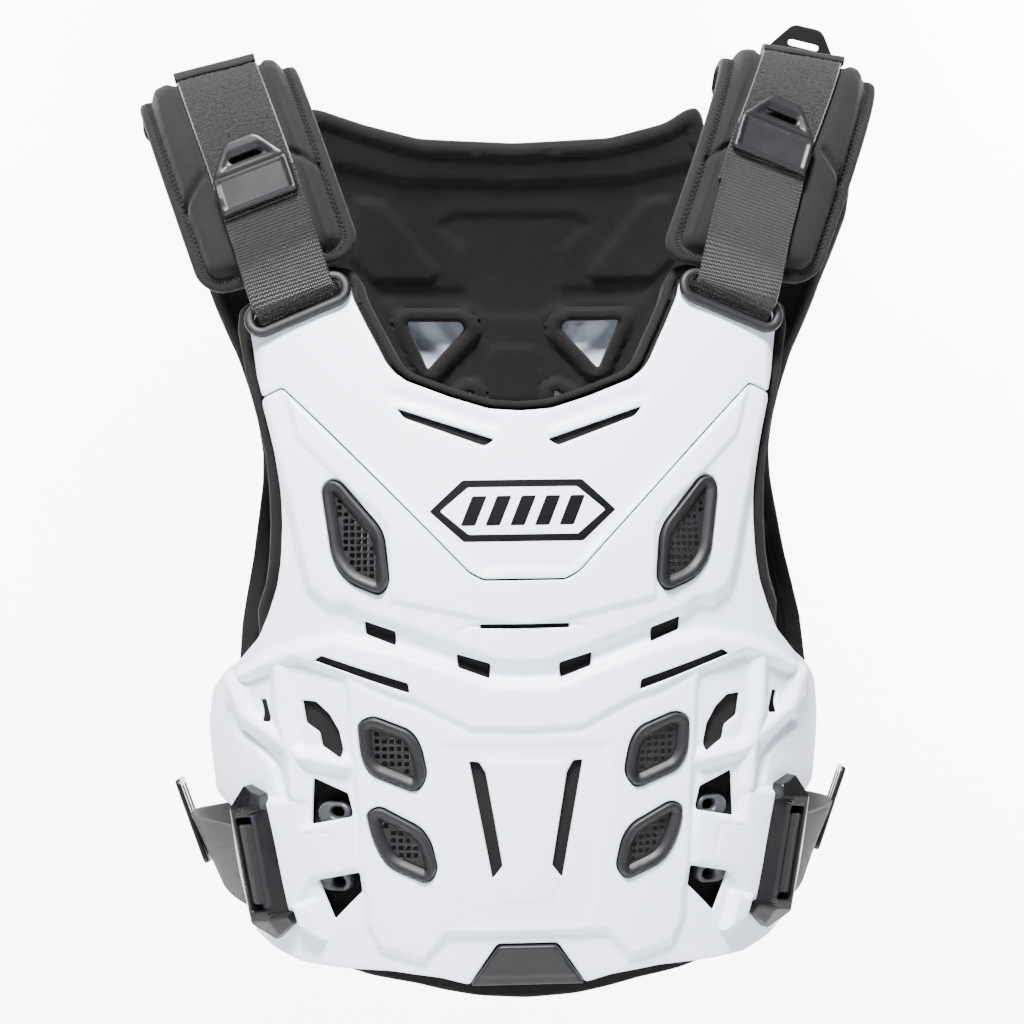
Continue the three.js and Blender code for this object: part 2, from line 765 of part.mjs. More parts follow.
function buildFrontShell() {
  const slots = Object.values(SLOTS).map((half) => half.map(place(FRONT)));
  const cuts = slots.flatMap((outline) => [outline, mirrorOutline(outline)]);
  const line = MIDDLE_LINE_SLOT;
  const lineZ = zAt(FRONT, line.down);
  const bar = roundedBar(2 * line.halfWidth, line.height, line.height / 2.01, 2);
  cuts.push(bar.map(([x, z]) => [x, lineZ + z]));
  cuts.push(grown(badgeOutline, FIT_GAP));
  const sheet = panelSheet(FRONT, {
    top: FRONT_TOP + 12,
    bottom: FRONT_TOP - FRONT_HEIGHT - 2,
    rows: 17,
    columns: 12,
    edge: sideEdge(FRONT, CHEST_SIDE),
    outside: 0,
    wall: SHELL_WALL,
    form: chestForm,
  });
  const open = sheet
    .subtract(neckSpace)
    .subtract(bottomSpace)
    .subtract(union(cuts.map((outline) => throughPrism(FRONT, outline))))
    .subtract(bothSides((side) => guideHole(guideFrame(side), 2 * FIT_GAP)))
    .subtract(bothSides((side) => union(allVents.map((vent) => ventHole(side, vent, VENT_RIM / 2)))));
  const seam = SEAM.map(place(FRONT));
  const high = FRONT_TOP + CUT_PAST;
  const region = (shift) => {
    const half = offsetLine(seam, shift);
    return [...half, ...mirrorOutline(half.slice(0, -1)), [-half[0][0], high], [half[0][0], high]];
  };
  addPiece("chest_yoke", open.intersect(throughPrism(FRONT, region(-SEAM_GAP / 2))), "white_plastic");
  addPiece("chest_shell", open.subtract(throughPrism(FRONT, region(SEAM_GAP / 2))), "white_plastic");
}

// The front liner runs past the shell's edge at the neck and arms, and stops short of the side windows
function linerEdge(z) {
  const down = (FRONT_TOP - z) / FRONT_HEIGHT;
  if (down < LINER_SIDE[0].down) return sideEdge(FRONT, CHEST_SIDE, LINER_LIP)(z);
  return outlineAt(LINER_SIDE, "across", down) * CHEST_HALF_WIDTH;
}

const LINER_OUTSIDE = -(SHELL_WALL + SEAT_GAP);

function buildChestLiner() {
  const sheet = panelSheet(FRONT, {
    top: FRONT_TOP + 18,
    bottom: zAt(FRONT, 1.03),
    rows: 10,
    columns: 9,
    edge: linerEdge,
    outside: LINER_OUTSIDE,
    wall: LINER_WALL,
  });
  const neck = throughPrism(FRONT, closedAt(offsetLine(neckEdge, LINER_LIP), FRONT_TOP + CUT_PAST));
  const below = throughPrism(FRONT, closedAt(LINER_BOTTOM.map(place(FRONT)), zAt(FRONT, 1.15)));
  const solid = sheet
    .subtract(neck)
    .subtract(below)
    .subtract(bothSides((side) => guideHole(guideFrame(side), 6)))
    .subtract(bothSides((side) => union(allVents.map((vent) => ventHole(side, vent, VENT_RIM / 2)))));
  addPiece("chest_liner", solid, "black_foam");
}

function buildVent(name, side, vent) {
  const frame = ventFrame(side, vent);
  const outline = ventOutline(side, vent);
  const seat = insetConvex(outline, VENT_RIM / 2 + FIT_GAP);
  const opening = insetConvex(outline, VENT_RIM);
  const netEdge = insetConvex(outline, VENT_RIM - 0.6);
  const holes = [];
  const reach = Math.ceil(vent.length / VENT_PITCH);
  for (let i = -reach; i <= reach; i += 1) {
    for (let j = -reach; j <= reach; j += 1) {
      const x = (i + 0.5) * VENT_PITCH;
      const y = (j + 0.5) * VENT_PITCH;
      const half = VENT_HOLE / 2;
      const corners = [
        [x - half, y - half],
        [x + half, y - half],
        [x + half, y + half],
        [x - half, y + half],
      ];
      if (corners.every(([cx, cy]) => depthInside(opening, cx, cy) > 0.6)) holes.push(corners);
    }
  }
  const deep = chestForm(side * vent.across * CHEST_HALF_WIDTH, zAt(FRONT, vent.down));
  const lift = deep + 0.3;
  const pierced = holes.map((hole) => faceSlab(frame, hole, -3 * LINER_WALL, 3 * LINER_WALL));
  const net = faceSlab(frame, netEdge, lift - VENT_NET_THICKNESS - 2, lift - 2).subtract(union(pierced));
  const sleeve = faceSlab(frame, seat, lift - SHELL_WALL - 1.5, lift + 1.6, [opening]);
  const rim = faceSlab(frame, outline, lift + 0.8, lift + 0.8 + VENT_RIM_HEIGHT, [opening]);
  addPiece(name, union([net, sleeve, rim]), "black_plastic");
}

function buildBadge() {
  const z = zAt(FRONT, 0.972);
  const frame = faceFrame(FRONT, 0, z, 0);
  const outline = badgeOutline.map(([x, height]) => [x, height - z]);
  addPiece("hem_badge", faceSlab(frame, outline, -SHELL_WALL, 1.6), "grey_plastic");
}

// Pads and straps follow an arch over the shoulder. `turn` is 0 at the ridge and negative towards the chest,
// `across` runs towards the arm, and `out` is the distance off the pad's underside.
function shoulderPoint(side, rise, turn, across, out) {
  const tall = RIDGE_HEIGHT + rise;
  const spring = -RIDGE_HEIGHT;
  const z = spring + tall * Math.cos(turn);
  const sideName = side < 0 ? "left" : "right";
  const lean = turn < 0 ? STRAP_LEAN[sideName] : -0.05;
  const x = RIDGE_OUT[sideName] - lean * (rise - z);
  const y = RIDGE_HALF_DEPTH * Math.sin(turn);
  const along = new THREE.Vector3(
    -lean * tall * Math.sin(turn) * side,
    RIDGE_HALF_DEPTH * Math.cos(turn),
    -tall * Math.sin(turn),
  ).normalize();
  const wide = new THREE.Vector3(side, -PAD_TOE_IN * Math.sin(turn), -PAD_SLOPE[sideName]).normalize();
  const normal = along.clone().cross(wide).multiplyScalar(-side).normalize();
  if (normal.z * Math.cos(turn) + normal.y * Math.sin(turn) < 0) normal.negate();
  return new THREE.Vector3(side * x, y, z).addScaledVector(wide, across).addScaledVector(normal, out);
}

// Where the middle of the strip and the webbing lies across the pad
function strapShift(side, turn) {
  const { ridge, tab } = STRAP_SHIFT[side < 0 ? "left" : "right"];
  return ridge + (tab - ridge) * Math.min(Math.max(-turn / 0.9, 0), 1);
}

// The turn at which the arch passes height z on the chest side
function turnAtHeight(rise, z) {
  return -Math.acos(Math.min(Math.max((z + RIDGE_HEIGHT) / (RIDGE_HEIGHT + rise), -1), 1));
}

const PAD_FOOT = -121;
const PAD_REAR_TURN = 0.5;

// A band along the arch from turn a to turn b, its ends rounded off by `endRadius`, its middle at `shift`
function archBand(side, rise, a, b, width, low, high, steps, endRadius = 0, columns = 1, shift = () => 0) {
  const length = (b - a) * RIDGE_HALF_DEPTH * 1.4;
  const halfAt = (v) => {
    if (!endRadius) return width / 2;
    const fromEnd = Math.min(v, 1 - v) * length;
    const inside = Math.max(endRadius - fromEnd, 0);
    return width / 2 - endRadius + Math.sqrt(Math.max(endRadius ** 2 - inside ** 2, 0));
  };
  const eased = (v) => (endRadius ? v + 0.03 * Math.sin(2 * Math.PI * v) * -1 : v);
  const surface = (out) => (v, u) => {
    const turn = a + (b - a) * eased(v);
    return shoulderPoint(side, rise, turn, shift(turn) + (2 * u - 1) * halfAt(eased(v)), out);
  };
  return sheetSolid(steps, columns, surface(high), surface(low));
}

const STRIP_LOW = PAD_THICKNESS + 1.1;
const WEB_LOW = STRIP_LOW + HOOK_STRIP_THICKNESS + FIT_GAP;
const TAB_LOW = WEB_LOW + STRAP_THICKNESS + FIT_GAP;

function tabOutline() {
  const half = TAB_WIDTH / 2;
  const plate = TAB_LENGTH * 0.52;
  return [
    [-half, 0],
    [half, 0],
    [half, plate],
    [half * 0.96, plate + 4],
    [half * 0.5, TAB_LENGTH - 3],
    [half * 0.36, TAB_LENGTH],
    [-half * 0.36, TAB_LENGTH],
    [-half * 0.5, TAB_LENGTH - 3],
    [-half * 0.96, plate + 4],
    [-half, plate],
  ];
}

function buildTab(name, frame) {
  const slot = roundedBar(TAB_WIDTH * 0.44, 3.4, 1.6, 2).map(([x, y]) => [x, y + TAB_LENGTH * 0.72]);
  const body = faceSlab(frame, tabOutline(), 0, TAB_THICKNESS, [slot]);
  const plateHeight = TAB_LENGTH * 0.42;
  const plate = roundedBar(TAB_WIDTH - 6, plateHeight, 2, 2).map(([x, y]) => [x, y + plateHeight / 2 + 2.5]);
  const raised = faceSlab(frame, plate, TAB_THICKNESS - 0.5, TAB_THICKNESS + 0.9);
  addPiece(name, union([body, raised]), "black_plastic");
}

const frameFrom = (across, up, normal, origin) =>
  new THREE.Matrix4().makeBasis(across, up, normal).setPosition(origin);

// Frame at a place on the arch, its Y up the strap and its Z out of it
function archFrame(side, rise, turn, out) {
  const shift = strapShift(side, turn);
  const at = shoulderPoint(side, rise, turn, shift, out);
  const up = shoulderPoint(side, rise, turn + 0.02, shift, out).sub(at).normalize();
  const outward = shoulderPoint(side, rise, turn, shift, out + 1).sub(at).normalize();
  const across = up.clone().cross(outward).normalize();
  return frameFrom(across, up, across.clone().cross(up), at);
}

// Direction of a path of points at one of them, from its two neighbours
function directionAt(points, i) {
  const after = points[Math.min(i + 1, points.length - 1)];
  return after.clone().sub(points[Math.max(i - 1, 0)]).normalize();
}

// A strap of rectangular section swept along points, `across` being its width direction at each point
function sweptStrap(path, width, thickness) {
  const frames = path.map(({ point, across, normal }) => ({ point, across, normal }));
  const last = frames.length - 1;
  const surface = (out) => (v, u) => {
    const f = frames[Math.round(v * last)];
    return f.point
      .clone()
      .addScaledVector(f.across, (2 * u - 1) * (width / 2))
      .addScaledVector(f.normal, out);
  };
  return sheetSolid(last, 1, surface(thickness), surface(0));
}

function buildShoulder(sideName) {
  const side = SIDES[sideName];
  const rise = RIDGE_RISE[sideName];
  const foot = turnAtHeight(rise, PAD_FOOT);
  const pad = archBand(side, rise, foot, PAD_REAR_TURN, PAD_WIDTH, 0, PAD_THICKNESS, 14, PAD_END_RADIUS, 3);
  addPiece(`shoulder_pad_${sideName}`, pad, "black_cloth");
  const tabFoot = turnAtHeight(rise, FRONT_TAB_FOOT[sideName]);
  const strip = archBand(
    side,
    rise,
    turnAtHeight(rise, FRONT_TAB_FOOT[sideName] - 12),
    PAD_REAR_TURN - 0.08,
    STRAP_WIDTH,
    STRIP_LOW,
    STRIP_LOW + HOOK_STRIP_THICKNESS,
    12,
    0,
    1,
    (turn) => strapShift(side, turn),
  );
  addPiece(`hook_strip_${sideName}`, strip, "hook_and_loop");

  const guide = guideFrame(side);
  const guideAxes = [new THREE.Vector3(), new THREE.Vector3(), new THREE.Vector3()];
  guide.extractBasis(...guideAxes);
  const guideAt = (up, out) =>
    new THREE.Vector3()
      .setFromMatrixPosition(guide)
      .addScaledVector(guideAxes[1], up)
      .addScaledVector(guideAxes[2], out);
  const lift = chestForm(side * GUIDE.across * CHEST_HALF_WIDTH, zAt(FRONT, GUIDE.down));
  const ring = faceSlab(
    guide,
    roundedBar(GUIDE_LENGTH, GUIDE_HEIGHT, GUIDE_HEIGHT / 2.02, 3),
    lift + FIT_GAP,
    lift + FIT_GAP + GUIDE_THICKNESS,
    [roundedBar(GUIDE_LENGTH - GUIDE_BAR, GUIDE_HEIGHT - 2 * GUIDE_BAR, 4, 2)],
  );
  addPiece(`strap_guide_${sideName}`, ring, "black_plastic");

  // The webbing turns back through the guide, and lies on the hook strip above it
  const top = lift + FIT_GAP + GUIDE_THICKNESS;
  const path = [
    { point: guideAt(3, lift - SHELL_WALL - 4), blend: 0 },
    { point: guideAt(0.5, lift), blend: 0 },
    { point: guideAt(2.2, top + 1), blend: 0 },
    { point: guideAt(6, top + 4.4), blend: 0 },
  ];
  const steps = 6;
  const start = turnAtHeight(rise, PAD_FOOT - 4);
  for (let k = 0; k <= steps; k += 1) {
    const turn = start + ((tabFoot + 0.12 - start) * k) / steps;
    const lifted = WEB_LOW + Math.max(3 - 2 * k, 0);
    path.push({ point: shoulderPoint(side, rise, turn, strapShift(side, turn), lifted), blend: 1, turn });
  }
  const strapPath = path.map((entry, i) => {
    const before = path[Math.max(i - 1, 0)].point;
    const after = path[Math.min(i + 1, path.length - 1)].point;
    const along = after.clone().sub(before).normalize();
    const wide = guideAxes[0].clone();
    if (entry.blend === 1) {
      const a = shoulderPoint(side, rise, entry.turn, -1, WEB_LOW);
      wide.copy(shoulderPoint(side, rise, entry.turn, 1, WEB_LOW).sub(a).multiplyScalar(side).normalize());
    }
    wide.addScaledVector(along, -wide.dot(along)).normalize();
    return { point: entry.point, across: wide, normal: wide.clone().cross(along).normalize() };
  });
  addPiece(`front_strap_${sideName}`, sweptStrap(strapPath, STRAP_WIDTH, STRAP_THICKNESS), "webbing");

  const upper = archFrame(side, rise, tabFoot, TAB_LOW + 0.4);
  buildTab(`front_tab_${sideName}`, upper);
}

function buildBack() {
  const cut = (panelEdge, lip) =>
    throughPrism(BACK, closedAt(offsetLine(panelEdge.map(place(BACK)), lip), BACK_TOP + CUT_PAST));
  const below = (lip) =>
    throughPrism(BACK, closedAt(offsetLine(BACK_BOTTOM_EDGE.map(place(BACK)), -lip), zAt(BACK, 1.2)));
  const clearPads = bothSides((side) => {
    const rise = side < 0 ? RIDGE_RISE.left : RIDGE_RISE.right;
    return archBand(side, rise, -0.2, PAD_REAR_TURN + 0.06, PAD_WIDTH + 6, -1.5, PAD_THICKNESS + 6, 6);
  });
  const windows = (inset, set) =>
    Object.values(set).flatMap((half) => {
      const outline = grown(half.map(place(BACK)), -inset);
      return [throughPrism(BACK, outline), throughPrism(BACK, mirrorOutline(outline))];
    });
  const rearGuides = (wide) => bothSides((side) => guideHole(guideFrame(side, true), wide));
  const shell = panelSheet(BACK, {
    top: BACK_TOP + 6,
    bottom: zAt(BACK, 1.0),
    rows: 9,
    columns: 10,
    edge: sideEdge(BACK, BACK_SIDE, -LINER_LIP),
    outside: 0,
    wall: SHELL_WALL,
  })
    .subtract(cut(BACK_TOP_EDGE, -LINER_LIP))
    .subtract(below(-LINER_LIP))
    .subtract(clearPads)
    .subtract(rearGuides(2 * FIT_GAP))
    .subtract(union(windows(0, BACK_SHELL_SLOTS)));
  addPiece("back_shell", shell, "white_plastic");
  const liner = panelSheet(BACK, {
    top: BACK_TOP + 12,
    bottom: zAt(BACK, 1.01),
    rows: 9,
    columns: 10,
    edge: sideEdge(BACK, BACK_SIDE),
    outside: LINER_OUTSIDE,
    wall: LINER_WALL,
  })
    .subtract(cut(BACK_TOP_EDGE, 0))
    .subtract(below(0))
    .subtract(clearPads)
    .subtract(rearGuides(6))
    .subtract(union(windows(0, BACK_WINDOWS)));
  addPiece("back_liner", liner, "black_foam");
}

// The rear strap runs from the back shell's guide up over the end of the pad
function buildRearStrap(sideName) {
  const side = SIDES[sideName];
  const rise = RIDGE_RISE[sideName];
  const guide = guideFrame(side, true);
  const axes = [new THREE.Vector3(), new THREE.Vector3(), new THREE.Vector3()];
  guide.extractBasis(...axes);
  const ring = faceSlab(
    guide,
    roundedBar(GUIDE_LENGTH, GUIDE_HEIGHT, GUIDE_HEIGHT / 2.02, 3),
    FIT_GAP,
    FIT_GAP + GUIDE_THICKNESS,
    [roundedBar(GUIDE_LENGTH - GUIDE_BAR, GUIDE_HEIGHT - 2 * GUIDE_BAR, 4, 2)],
  );
  addPiece(`rear_guide_${sideName}`, ring, "black_plastic");
  const guideAt = (up, out) =>
    new THREE.Vector3()
      .setFromMatrixPosition(guide)
      .addScaledVector(axes[1], up)
      .addScaledVector(axes[2], out);
  const padEnd = shoulderPoint(side, rise, PAD_REAR_TURN, 0, WEB_LOW + 3);
  const footTurn = REAR_TAB_FOOT[sideName];
  const top = FIT_GAP + GUIDE_THICKNESS + 1;
  const start = guideAt(GUIDE_HEIGHT / 2 + 2, top);
  const direction = padEnd.clone().sub(start).normalize();
  const endLength = (footTurn + 18 - start.z) / direction.z;
  const points = [
    guideAt(3, -SHELL_WALL - 3),
    guideAt(0, -0.5),
    guideAt(1.5, top - 1.2),
    guideAt(5, top),
    start,
    start.clone().addScaledVector(direction, endLength * 0.5),
    start.clone().addScaledVector(direction, endLength),
  ];
  const path = points.map((point, i) => {
    const along = directionAt(points, i);
    const wide = axes[0].clone();
    wide.addScaledVector(along, -wide.dot(along)).normalize();
    return { point, across: wide, normal: wide.clone().cross(along).normalize() };
  });
  addPiece(`rear_strap_${sideName}`, sweptStrap(path, STRAP_WIDTH, STRAP_THICKNESS), "webbing");
  const end = path[path.length - 1];
  const up = direction.clone();
  const normal = end.normal.clone();
  const across = up.clone().cross(normal).normalize();
  const seat = end.point
    .clone()
    .addScaledVector(up, -18)
    .addScaledVector(normal, STRAP_THICKNESS + FIT_GAP);
  buildTab(`rear_tab_${sideName}`, frameFrom(across, up, normal, seat));
}

// The side straps close the panels round the body, with a hooked buckle on each panel
const BUCKLE_LEVEL = FRONT_TOP - 0.831 * FRONT_HEIGHT;
const BUCKLE_ACROSS = 0.79;
const SIDE_STRAP_LEAN = 0.3; // the side straps follow the body in towards the hips

function buildBuckle(name, panel, side) {
  const x = side * BUCKLE_ACROSS * CHEST_HALF_WIDTH;
  const frame = faceFrame(panel, x, BUCKLE_LEVEL, 0, side * panel.facing * 0.12);
  const outer = side * -panel.facing; // local X towards the arm
  const half = BUCKLE_HEIGHT / 2;
  const low = FIT_GAP;
  const body = faceSlab(
    frame,
    [
      [outer * -12, -half + 8],
      [outer * 4, -half],
      [outer * (BUCKLE_WIDTH - 12), -half + 12],
      [outer * (BUCKLE_WIDTH - 9), 0],
      [outer * (BUCKLE_WIDTH - 12), half - 12],
      [outer * 4, half],
      [outer * -8, half - 8],
    ],
    low,
    low + BUCKLE_RISE,
  );
  const channel = faceSlab(
    frame,
    roundedBar(BUCKLE_WIDTH, SIDE_STRAP_WIDTH + 6, 2, 2).map(([u, v]) => [u + outer * 9, v]),
    low + 3.5,
    low + 40,
  );
  const bar = faceSlab(
    frame,
    [
      [outer * 3, -half + 14],
      [outer * 7, -half + 14],
      [outer * 7, half - 14],
      [outer * 3, half - 14],
    ],
    low + 6.9,
    low + 10.5,
  );
  addPiece(name, body.subtract(channel).add(bar), "black_plastic");
  return { frame, outer, low };
}

function buildSide(sideName) {
  const side = SIDES[sideName];
  const front = buildBuckle(`side_buckle_${sideName}`, FRONT, side);
  const rear = buildBuckle(`rear_buckle_${sideName}`, BACK, side);
  const anchor = ({ frame, outer, low }, x, out) =>
    new THREE.Vector3(outer * x, 0, low + out).applyMatrix4(frame);
  const a = anchor(front, 0, 4);
  const b = anchor(front, BUCKLE_WIDTH - 7, 4);
  const c = anchor(rear, BUCKLE_WIDTH - 7, 4);
  const d = anchor(rear, 0, 4);
  const upright = ({ frame }) => new THREE.Vector3().setFromMatrixColumn(frame, 1);
  const crown = new THREE.Vector3(side * (CHEST_HALF_WIDTH + SIDE_STRAP_BULGE), 0, BUCKLE_LEVEL);
  const points = [a, b, b.clone().lerp(crown, 0.55), crown, c.clone().lerp(crown, 0.55), c, d];
  [2, 4].forEach((i) => {
    points[i].x += side * 4;
  });
  const path = points.map((point, i) => {
    const share = Math.min(Math.max((i - 1) / 4, 0), 1);
    const up = upright(front).lerp(upright(rear), share);
    up.x += side * SIDE_STRAP_LEAN * Math.sin(Math.PI * share);
    up.normalize();
    const along = directionAt(points, i);
    const wide = up.clone().addScaledVector(along, -up.dot(along)).normalize();
    const normal = wide.clone().cross(along).normalize();
    if (normal.x * side < 0) normal.negate();
    return { point, across: wide, normal };
  });
  addPiece(`side_strap_${sideName}`, sweptStrap(path, SIDE_STRAP_WIDTH, SIDE_STRAP_THICKNESS), "webbing");

  // The slide that takes up the strap's length lies flat on its outside
  const { point, across: up, normal } = path[3];
  const origin = point.clone().addScaledVector(normal, SIDE_STRAP_THICKNESS + FIT_GAP);
  origin.addScaledVector(up, SLIDE_RAISED);
  const seat = frameFrom(up.clone().cross(normal), up, normal, origin);
  const openings = [-1, 1].map((end) => {
    const opening = roundedBar(5, SIDE_STRAP_WIDTH - 2, 1.5, 1);
    return opening.map(([x, y]) => [x + end * 5.5, y]);
  });
  const slide = faceSlab(seat, roundedBar(24, SIDE_STRAP_WIDTH + 7, 4, 2), 0, 3, openings);
  addPiece(`side_slide_${sideName}`, slide, "black_plastic");
  [
    ["upper", 0.762],
    ["lower", 0.857],
  ].forEach(([name, down]) => {
    const frame = faceFrame(FRONT, side * 0.6 * CHEST_HALF_WIDTH, zAt(FRONT, down), 0, 0);
    const flip = name === "upper" ? 1 : -1;
    const ring = roundedBar(20, 13, 6.3, 3);
    const hole = roundedBar(8, 6, 2.9, 2).map(([x, y]) => [x - side * 2, y + flip * 1]);
    const hook = faceSlab(frame, ring, -LATCH_PRONG - LATCH_DEPTH, -LATCH_DEPTH, [hole]);
    addPiece(`latch_hook_${name}_${sideName}`, hook, "grey_plastic");
  });
}

buildFrontShell();
buildChestLiner();
Object.entries(SIDES).forEach(([sideName, side]) => {
  Object.entries(VENTS).forEach(([name, vent]) => buildVent(`vent_${name}_${sideName}`, side, vent));
});
buildBadge();
Object.keys(SIDES).forEach(buildShoulder);
buildBack();
Object.keys(SIDES).forEach(buildRearStrap);
Object.keys(SIDES).forEach(buildSide);

export default group;
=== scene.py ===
# %% [markdown]
# A roost deflector keeps stones that other wheels throw up off a rider's chest and back. It is two moulded
# white shells on black foam liners, two padded straps over the shoulders and a buckled elastic strap at each
# side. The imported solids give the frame. Every visible piece is then made again at full detail in its place.

# %% Load the frame
import itertools
import math
import bpy
import numpy as np
from mathutils import Matrix, Vector
from mathutils.geometry import delaunay_2d_cdt


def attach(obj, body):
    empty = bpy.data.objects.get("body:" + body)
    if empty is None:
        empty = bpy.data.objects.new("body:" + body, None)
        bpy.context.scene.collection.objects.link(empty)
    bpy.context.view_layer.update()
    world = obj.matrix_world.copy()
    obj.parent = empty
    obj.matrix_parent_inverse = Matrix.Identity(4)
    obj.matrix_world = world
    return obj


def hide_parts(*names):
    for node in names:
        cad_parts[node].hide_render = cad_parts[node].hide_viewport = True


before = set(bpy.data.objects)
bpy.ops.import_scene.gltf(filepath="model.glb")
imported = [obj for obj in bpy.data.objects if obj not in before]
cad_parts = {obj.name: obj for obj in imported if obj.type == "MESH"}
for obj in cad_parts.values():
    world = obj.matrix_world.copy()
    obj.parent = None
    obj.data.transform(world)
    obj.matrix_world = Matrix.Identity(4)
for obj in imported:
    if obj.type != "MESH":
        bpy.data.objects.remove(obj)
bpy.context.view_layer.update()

MM = 0.001
SIDES = {"left": -1.0, "right": 1.0}

# %% [markdown]
# The camera stands a little to the viewer's left of the middle, level with the belly of the shell, and is
# rolled by less than a degree, as the photograph was taken. A long lens keeps the sides from spreading.

# %% The camera
VIEW_TURN = math.radians(-3.5)
VIEW_ROLL = math.radians(-0.8)
VIEW_DISTANCE = 1.620
VIEW_HEIGHT = -0.262
LENS_IN_PIXELS = 2586.0
PIXELS = 1024


def make_camera():
    """A camera at VIEW_DISTANCE from the middle plane, turned by VIEW_TURN about Z and rolled by
    VIEW_ROLL."""
    data = bpy.data.cameras.new("view")
    data.sensor_width = 36.0
    data.lens = LENS_IN_PIXELS * 36.0 / PIXELS
    camera = bpy.data.objects.new("view", data)
    bpy.context.scene.collection.objects.link(camera)
    forward = Vector((-math.sin(VIEW_TURN), math.cos(VIEW_TURN), 0.0))
    place = Vector((0.0, 0.0, VIEW_HEIGHT)) - VIEW_DISTANCE * forward
    upright = Matrix.Rotation(VIEW_TURN, 4, "Z") @ Matrix.Rotation(math.pi / 2, 4, "X")
    camera.matrix_world = Matrix.Translation(place) @ upright @ Matrix.Rotation(VIEW_ROLL, 4, "Z")
    data.shift_x = 2.7 / PIXELS
    data.clip_end = 20.0
    bpy.context.scene.camera = camera
    return camera


make_camera()
print("camera set")

# %% [markdown]
# Both panels follow one rounded body. Its level sections are rows of a table: how far down the panel, half
# the width and the depth. A smooth curve runs through the rows, so that every height has a section, and each
# section is an ellipse made a little fuller. All of a panel's sheets are this one face moved out or in.

# %% The body's sections
HALF_WIDTH = 188.0
FRONT = {
    "top": -122.0, "height": 414.0, "depth": 127.0, "facing": -1.0, "shift": 0.0,
    # down, width, depth, as shares
    "rows": np.array([
        (-0.15, 1.394, 0.47), (0.007, 1.266, 0.69), (0.181, 1.1, 0.88), (0.377, 1.02, 1.0),
        (0.527, 1.01, 1.0), (0.686, 1.005, 0.99), (0.865, 0.95, 0.96), (1.06, 0.87, 0.88),
    ]),
}
BACK = {
    "top": -2.0, "height": 520.0, "depth": 120.0, "facing": 1.0, "shift": 10.0,
    "rows": np.array([
        (-0.04, 1.36, 0.4), (0.03, 1.36, 0.52), (0.11, 1.34, 0.68), (0.23, 1.26, 0.86),
        (0.38, 1.09, 0.97), (0.53, 1.02, 1.0), (0.76, 1.0, 0.95), (1.05, 0.95, 0.86),
    ]),
}


def smooth_column(rows, name, down):
    """Cubic through the rows, whose slope at a row is that of the line joining its two neighbours."""
    x, y = rows[:, 0], rows[:, name]
    down = np.clip(down, x[0], x[-1])
    i = np.clip(np.searchsorted(x, down, side="right") - 1, 0, len(x) - 2)
    before = np.maximum(np.arange(len(x)) - 1, 0)
    after = np.minimum(np.arange(len(x)) + 1, len(x) - 1)
    slope = (y[after] - y[before]) / (x[after] - x[before])
    span = x[i + 1] - x[i]
    t = (down - x[i]) / span
    bend = t * t * (3 - 2 * t)
    return y[i] + (y[i + 1] - y[i]) * bend + span * (
        slope[i] * (t**3 - 2 * t * t + t) + slope[i + 1] * (t**3 - t * t))


def section(panel, z):
    """Half width and depth of the body at height z."""
    down = (panel["top"] - z) / panel["height"]
    return (smooth_column(panel["rows"], 1, down) * HALF_WIDTH,
            smooth_column(panel["rows"], 2, down) * panel["depth"])


def face_point(panel, s, z):
    """x is the half width times the sine of s / HALF_WIDTH, y the depth times its cosine to the power 0.8."""
    half, deep = section(panel, z)
    angle = np.clip(s / HALF_WIDTH, -1.54, 1.54)
    x = panel["shift"] + half * np.sin(angle)
    return np.stack([x, panel["facing"] * deep * np.cos(angle) ** 0.8, z + 0 * s], -1)


def face_frame(panel, s, z):
    """Point, direction across, direction up and outward normal, from small steps along s and z."""
    point = face_point(panel, s, z)
    across = face_point(panel, s + 0.5, z) - face_point(panel, s - 0.5, z)
    up = face_point(panel, s, z + 0.5) - face_point(panel, s, z - 0.5)
    normal = np.cross(across, up) * -panel["facing"]
    normal /= np.linalg.norm(normal, axis=-1, keepdims=True)
    return point, across, up, normal


def unrolled(panel, points):
    """Outline points given as x and z, with x turned into the length s round the section."""
    points = np.asarray(points, float)
    half, _ = section(panel, points[:, 1])
    s = HALF_WIDTH * np.arcsin(np.clip(points[:, 0] / half, -0.9992, 0.9992))
    return np.stack([s, points[:, 1]], -1)


print("chest half width at the ribs", section(FRONT, np.array([-340.0]))[0].round(1))

# %% [markdown]
# Most pieces are sheets with a cut outline and holes. A grid alone can't follow a slanted edge, so the grid
# of points is cut to the outline: edge points, two rows just inside them for a rounded edge, and an even
# field of points between, joined by a Delaunay triangulation that keeps the outlines as edges.

# %% Outlines and the cut grid
def spaced(loop, step):
    """The same closed outline with no edge longer than step."""
    loop = np.asarray(loop, float)
    after = np.roll(loop, -1, axis=0)
    counts = np.maximum(np.ceil(np.linalg.norm(after - loop, axis=1) / step).astype(int), 1)
    share = np.concatenate([np.arange(n) / n for n in counts])[:, None]
    return np.repeat(loop, counts, axis=0) * (1 - share) + np.repeat(after, counts, axis=0) * share


def softened(loop, radius, steps=4):
    """Each corner replaced by a parabola that leaves its two edges at `radius` from the corner."""
    loop = np.asarray(loop, float)
    before, after = np.roll(loop, 1, axis=0) - loop, np.roll(loop, -1, axis=0) - loop
    long_before = np.linalg.norm(before, axis=1, keepdims=True)
    long_after = np.linalg.norm(after, axis=1, keepdims=True)
    reach = np.minimum(np.minimum(long_before, long_after) * 0.49, radius)
    start, end = loop + before / long_before * reach, loop + after / long_after * reach
    t = np.linspace(0, 1, steps + 1)[None, :, None]
    curve = start[:, None] * (1 - t) ** 2 + loop[:, None] * 2 * t * (1 - t) + end[:, None] * t**2
    return curve.reshape(-1, 2)


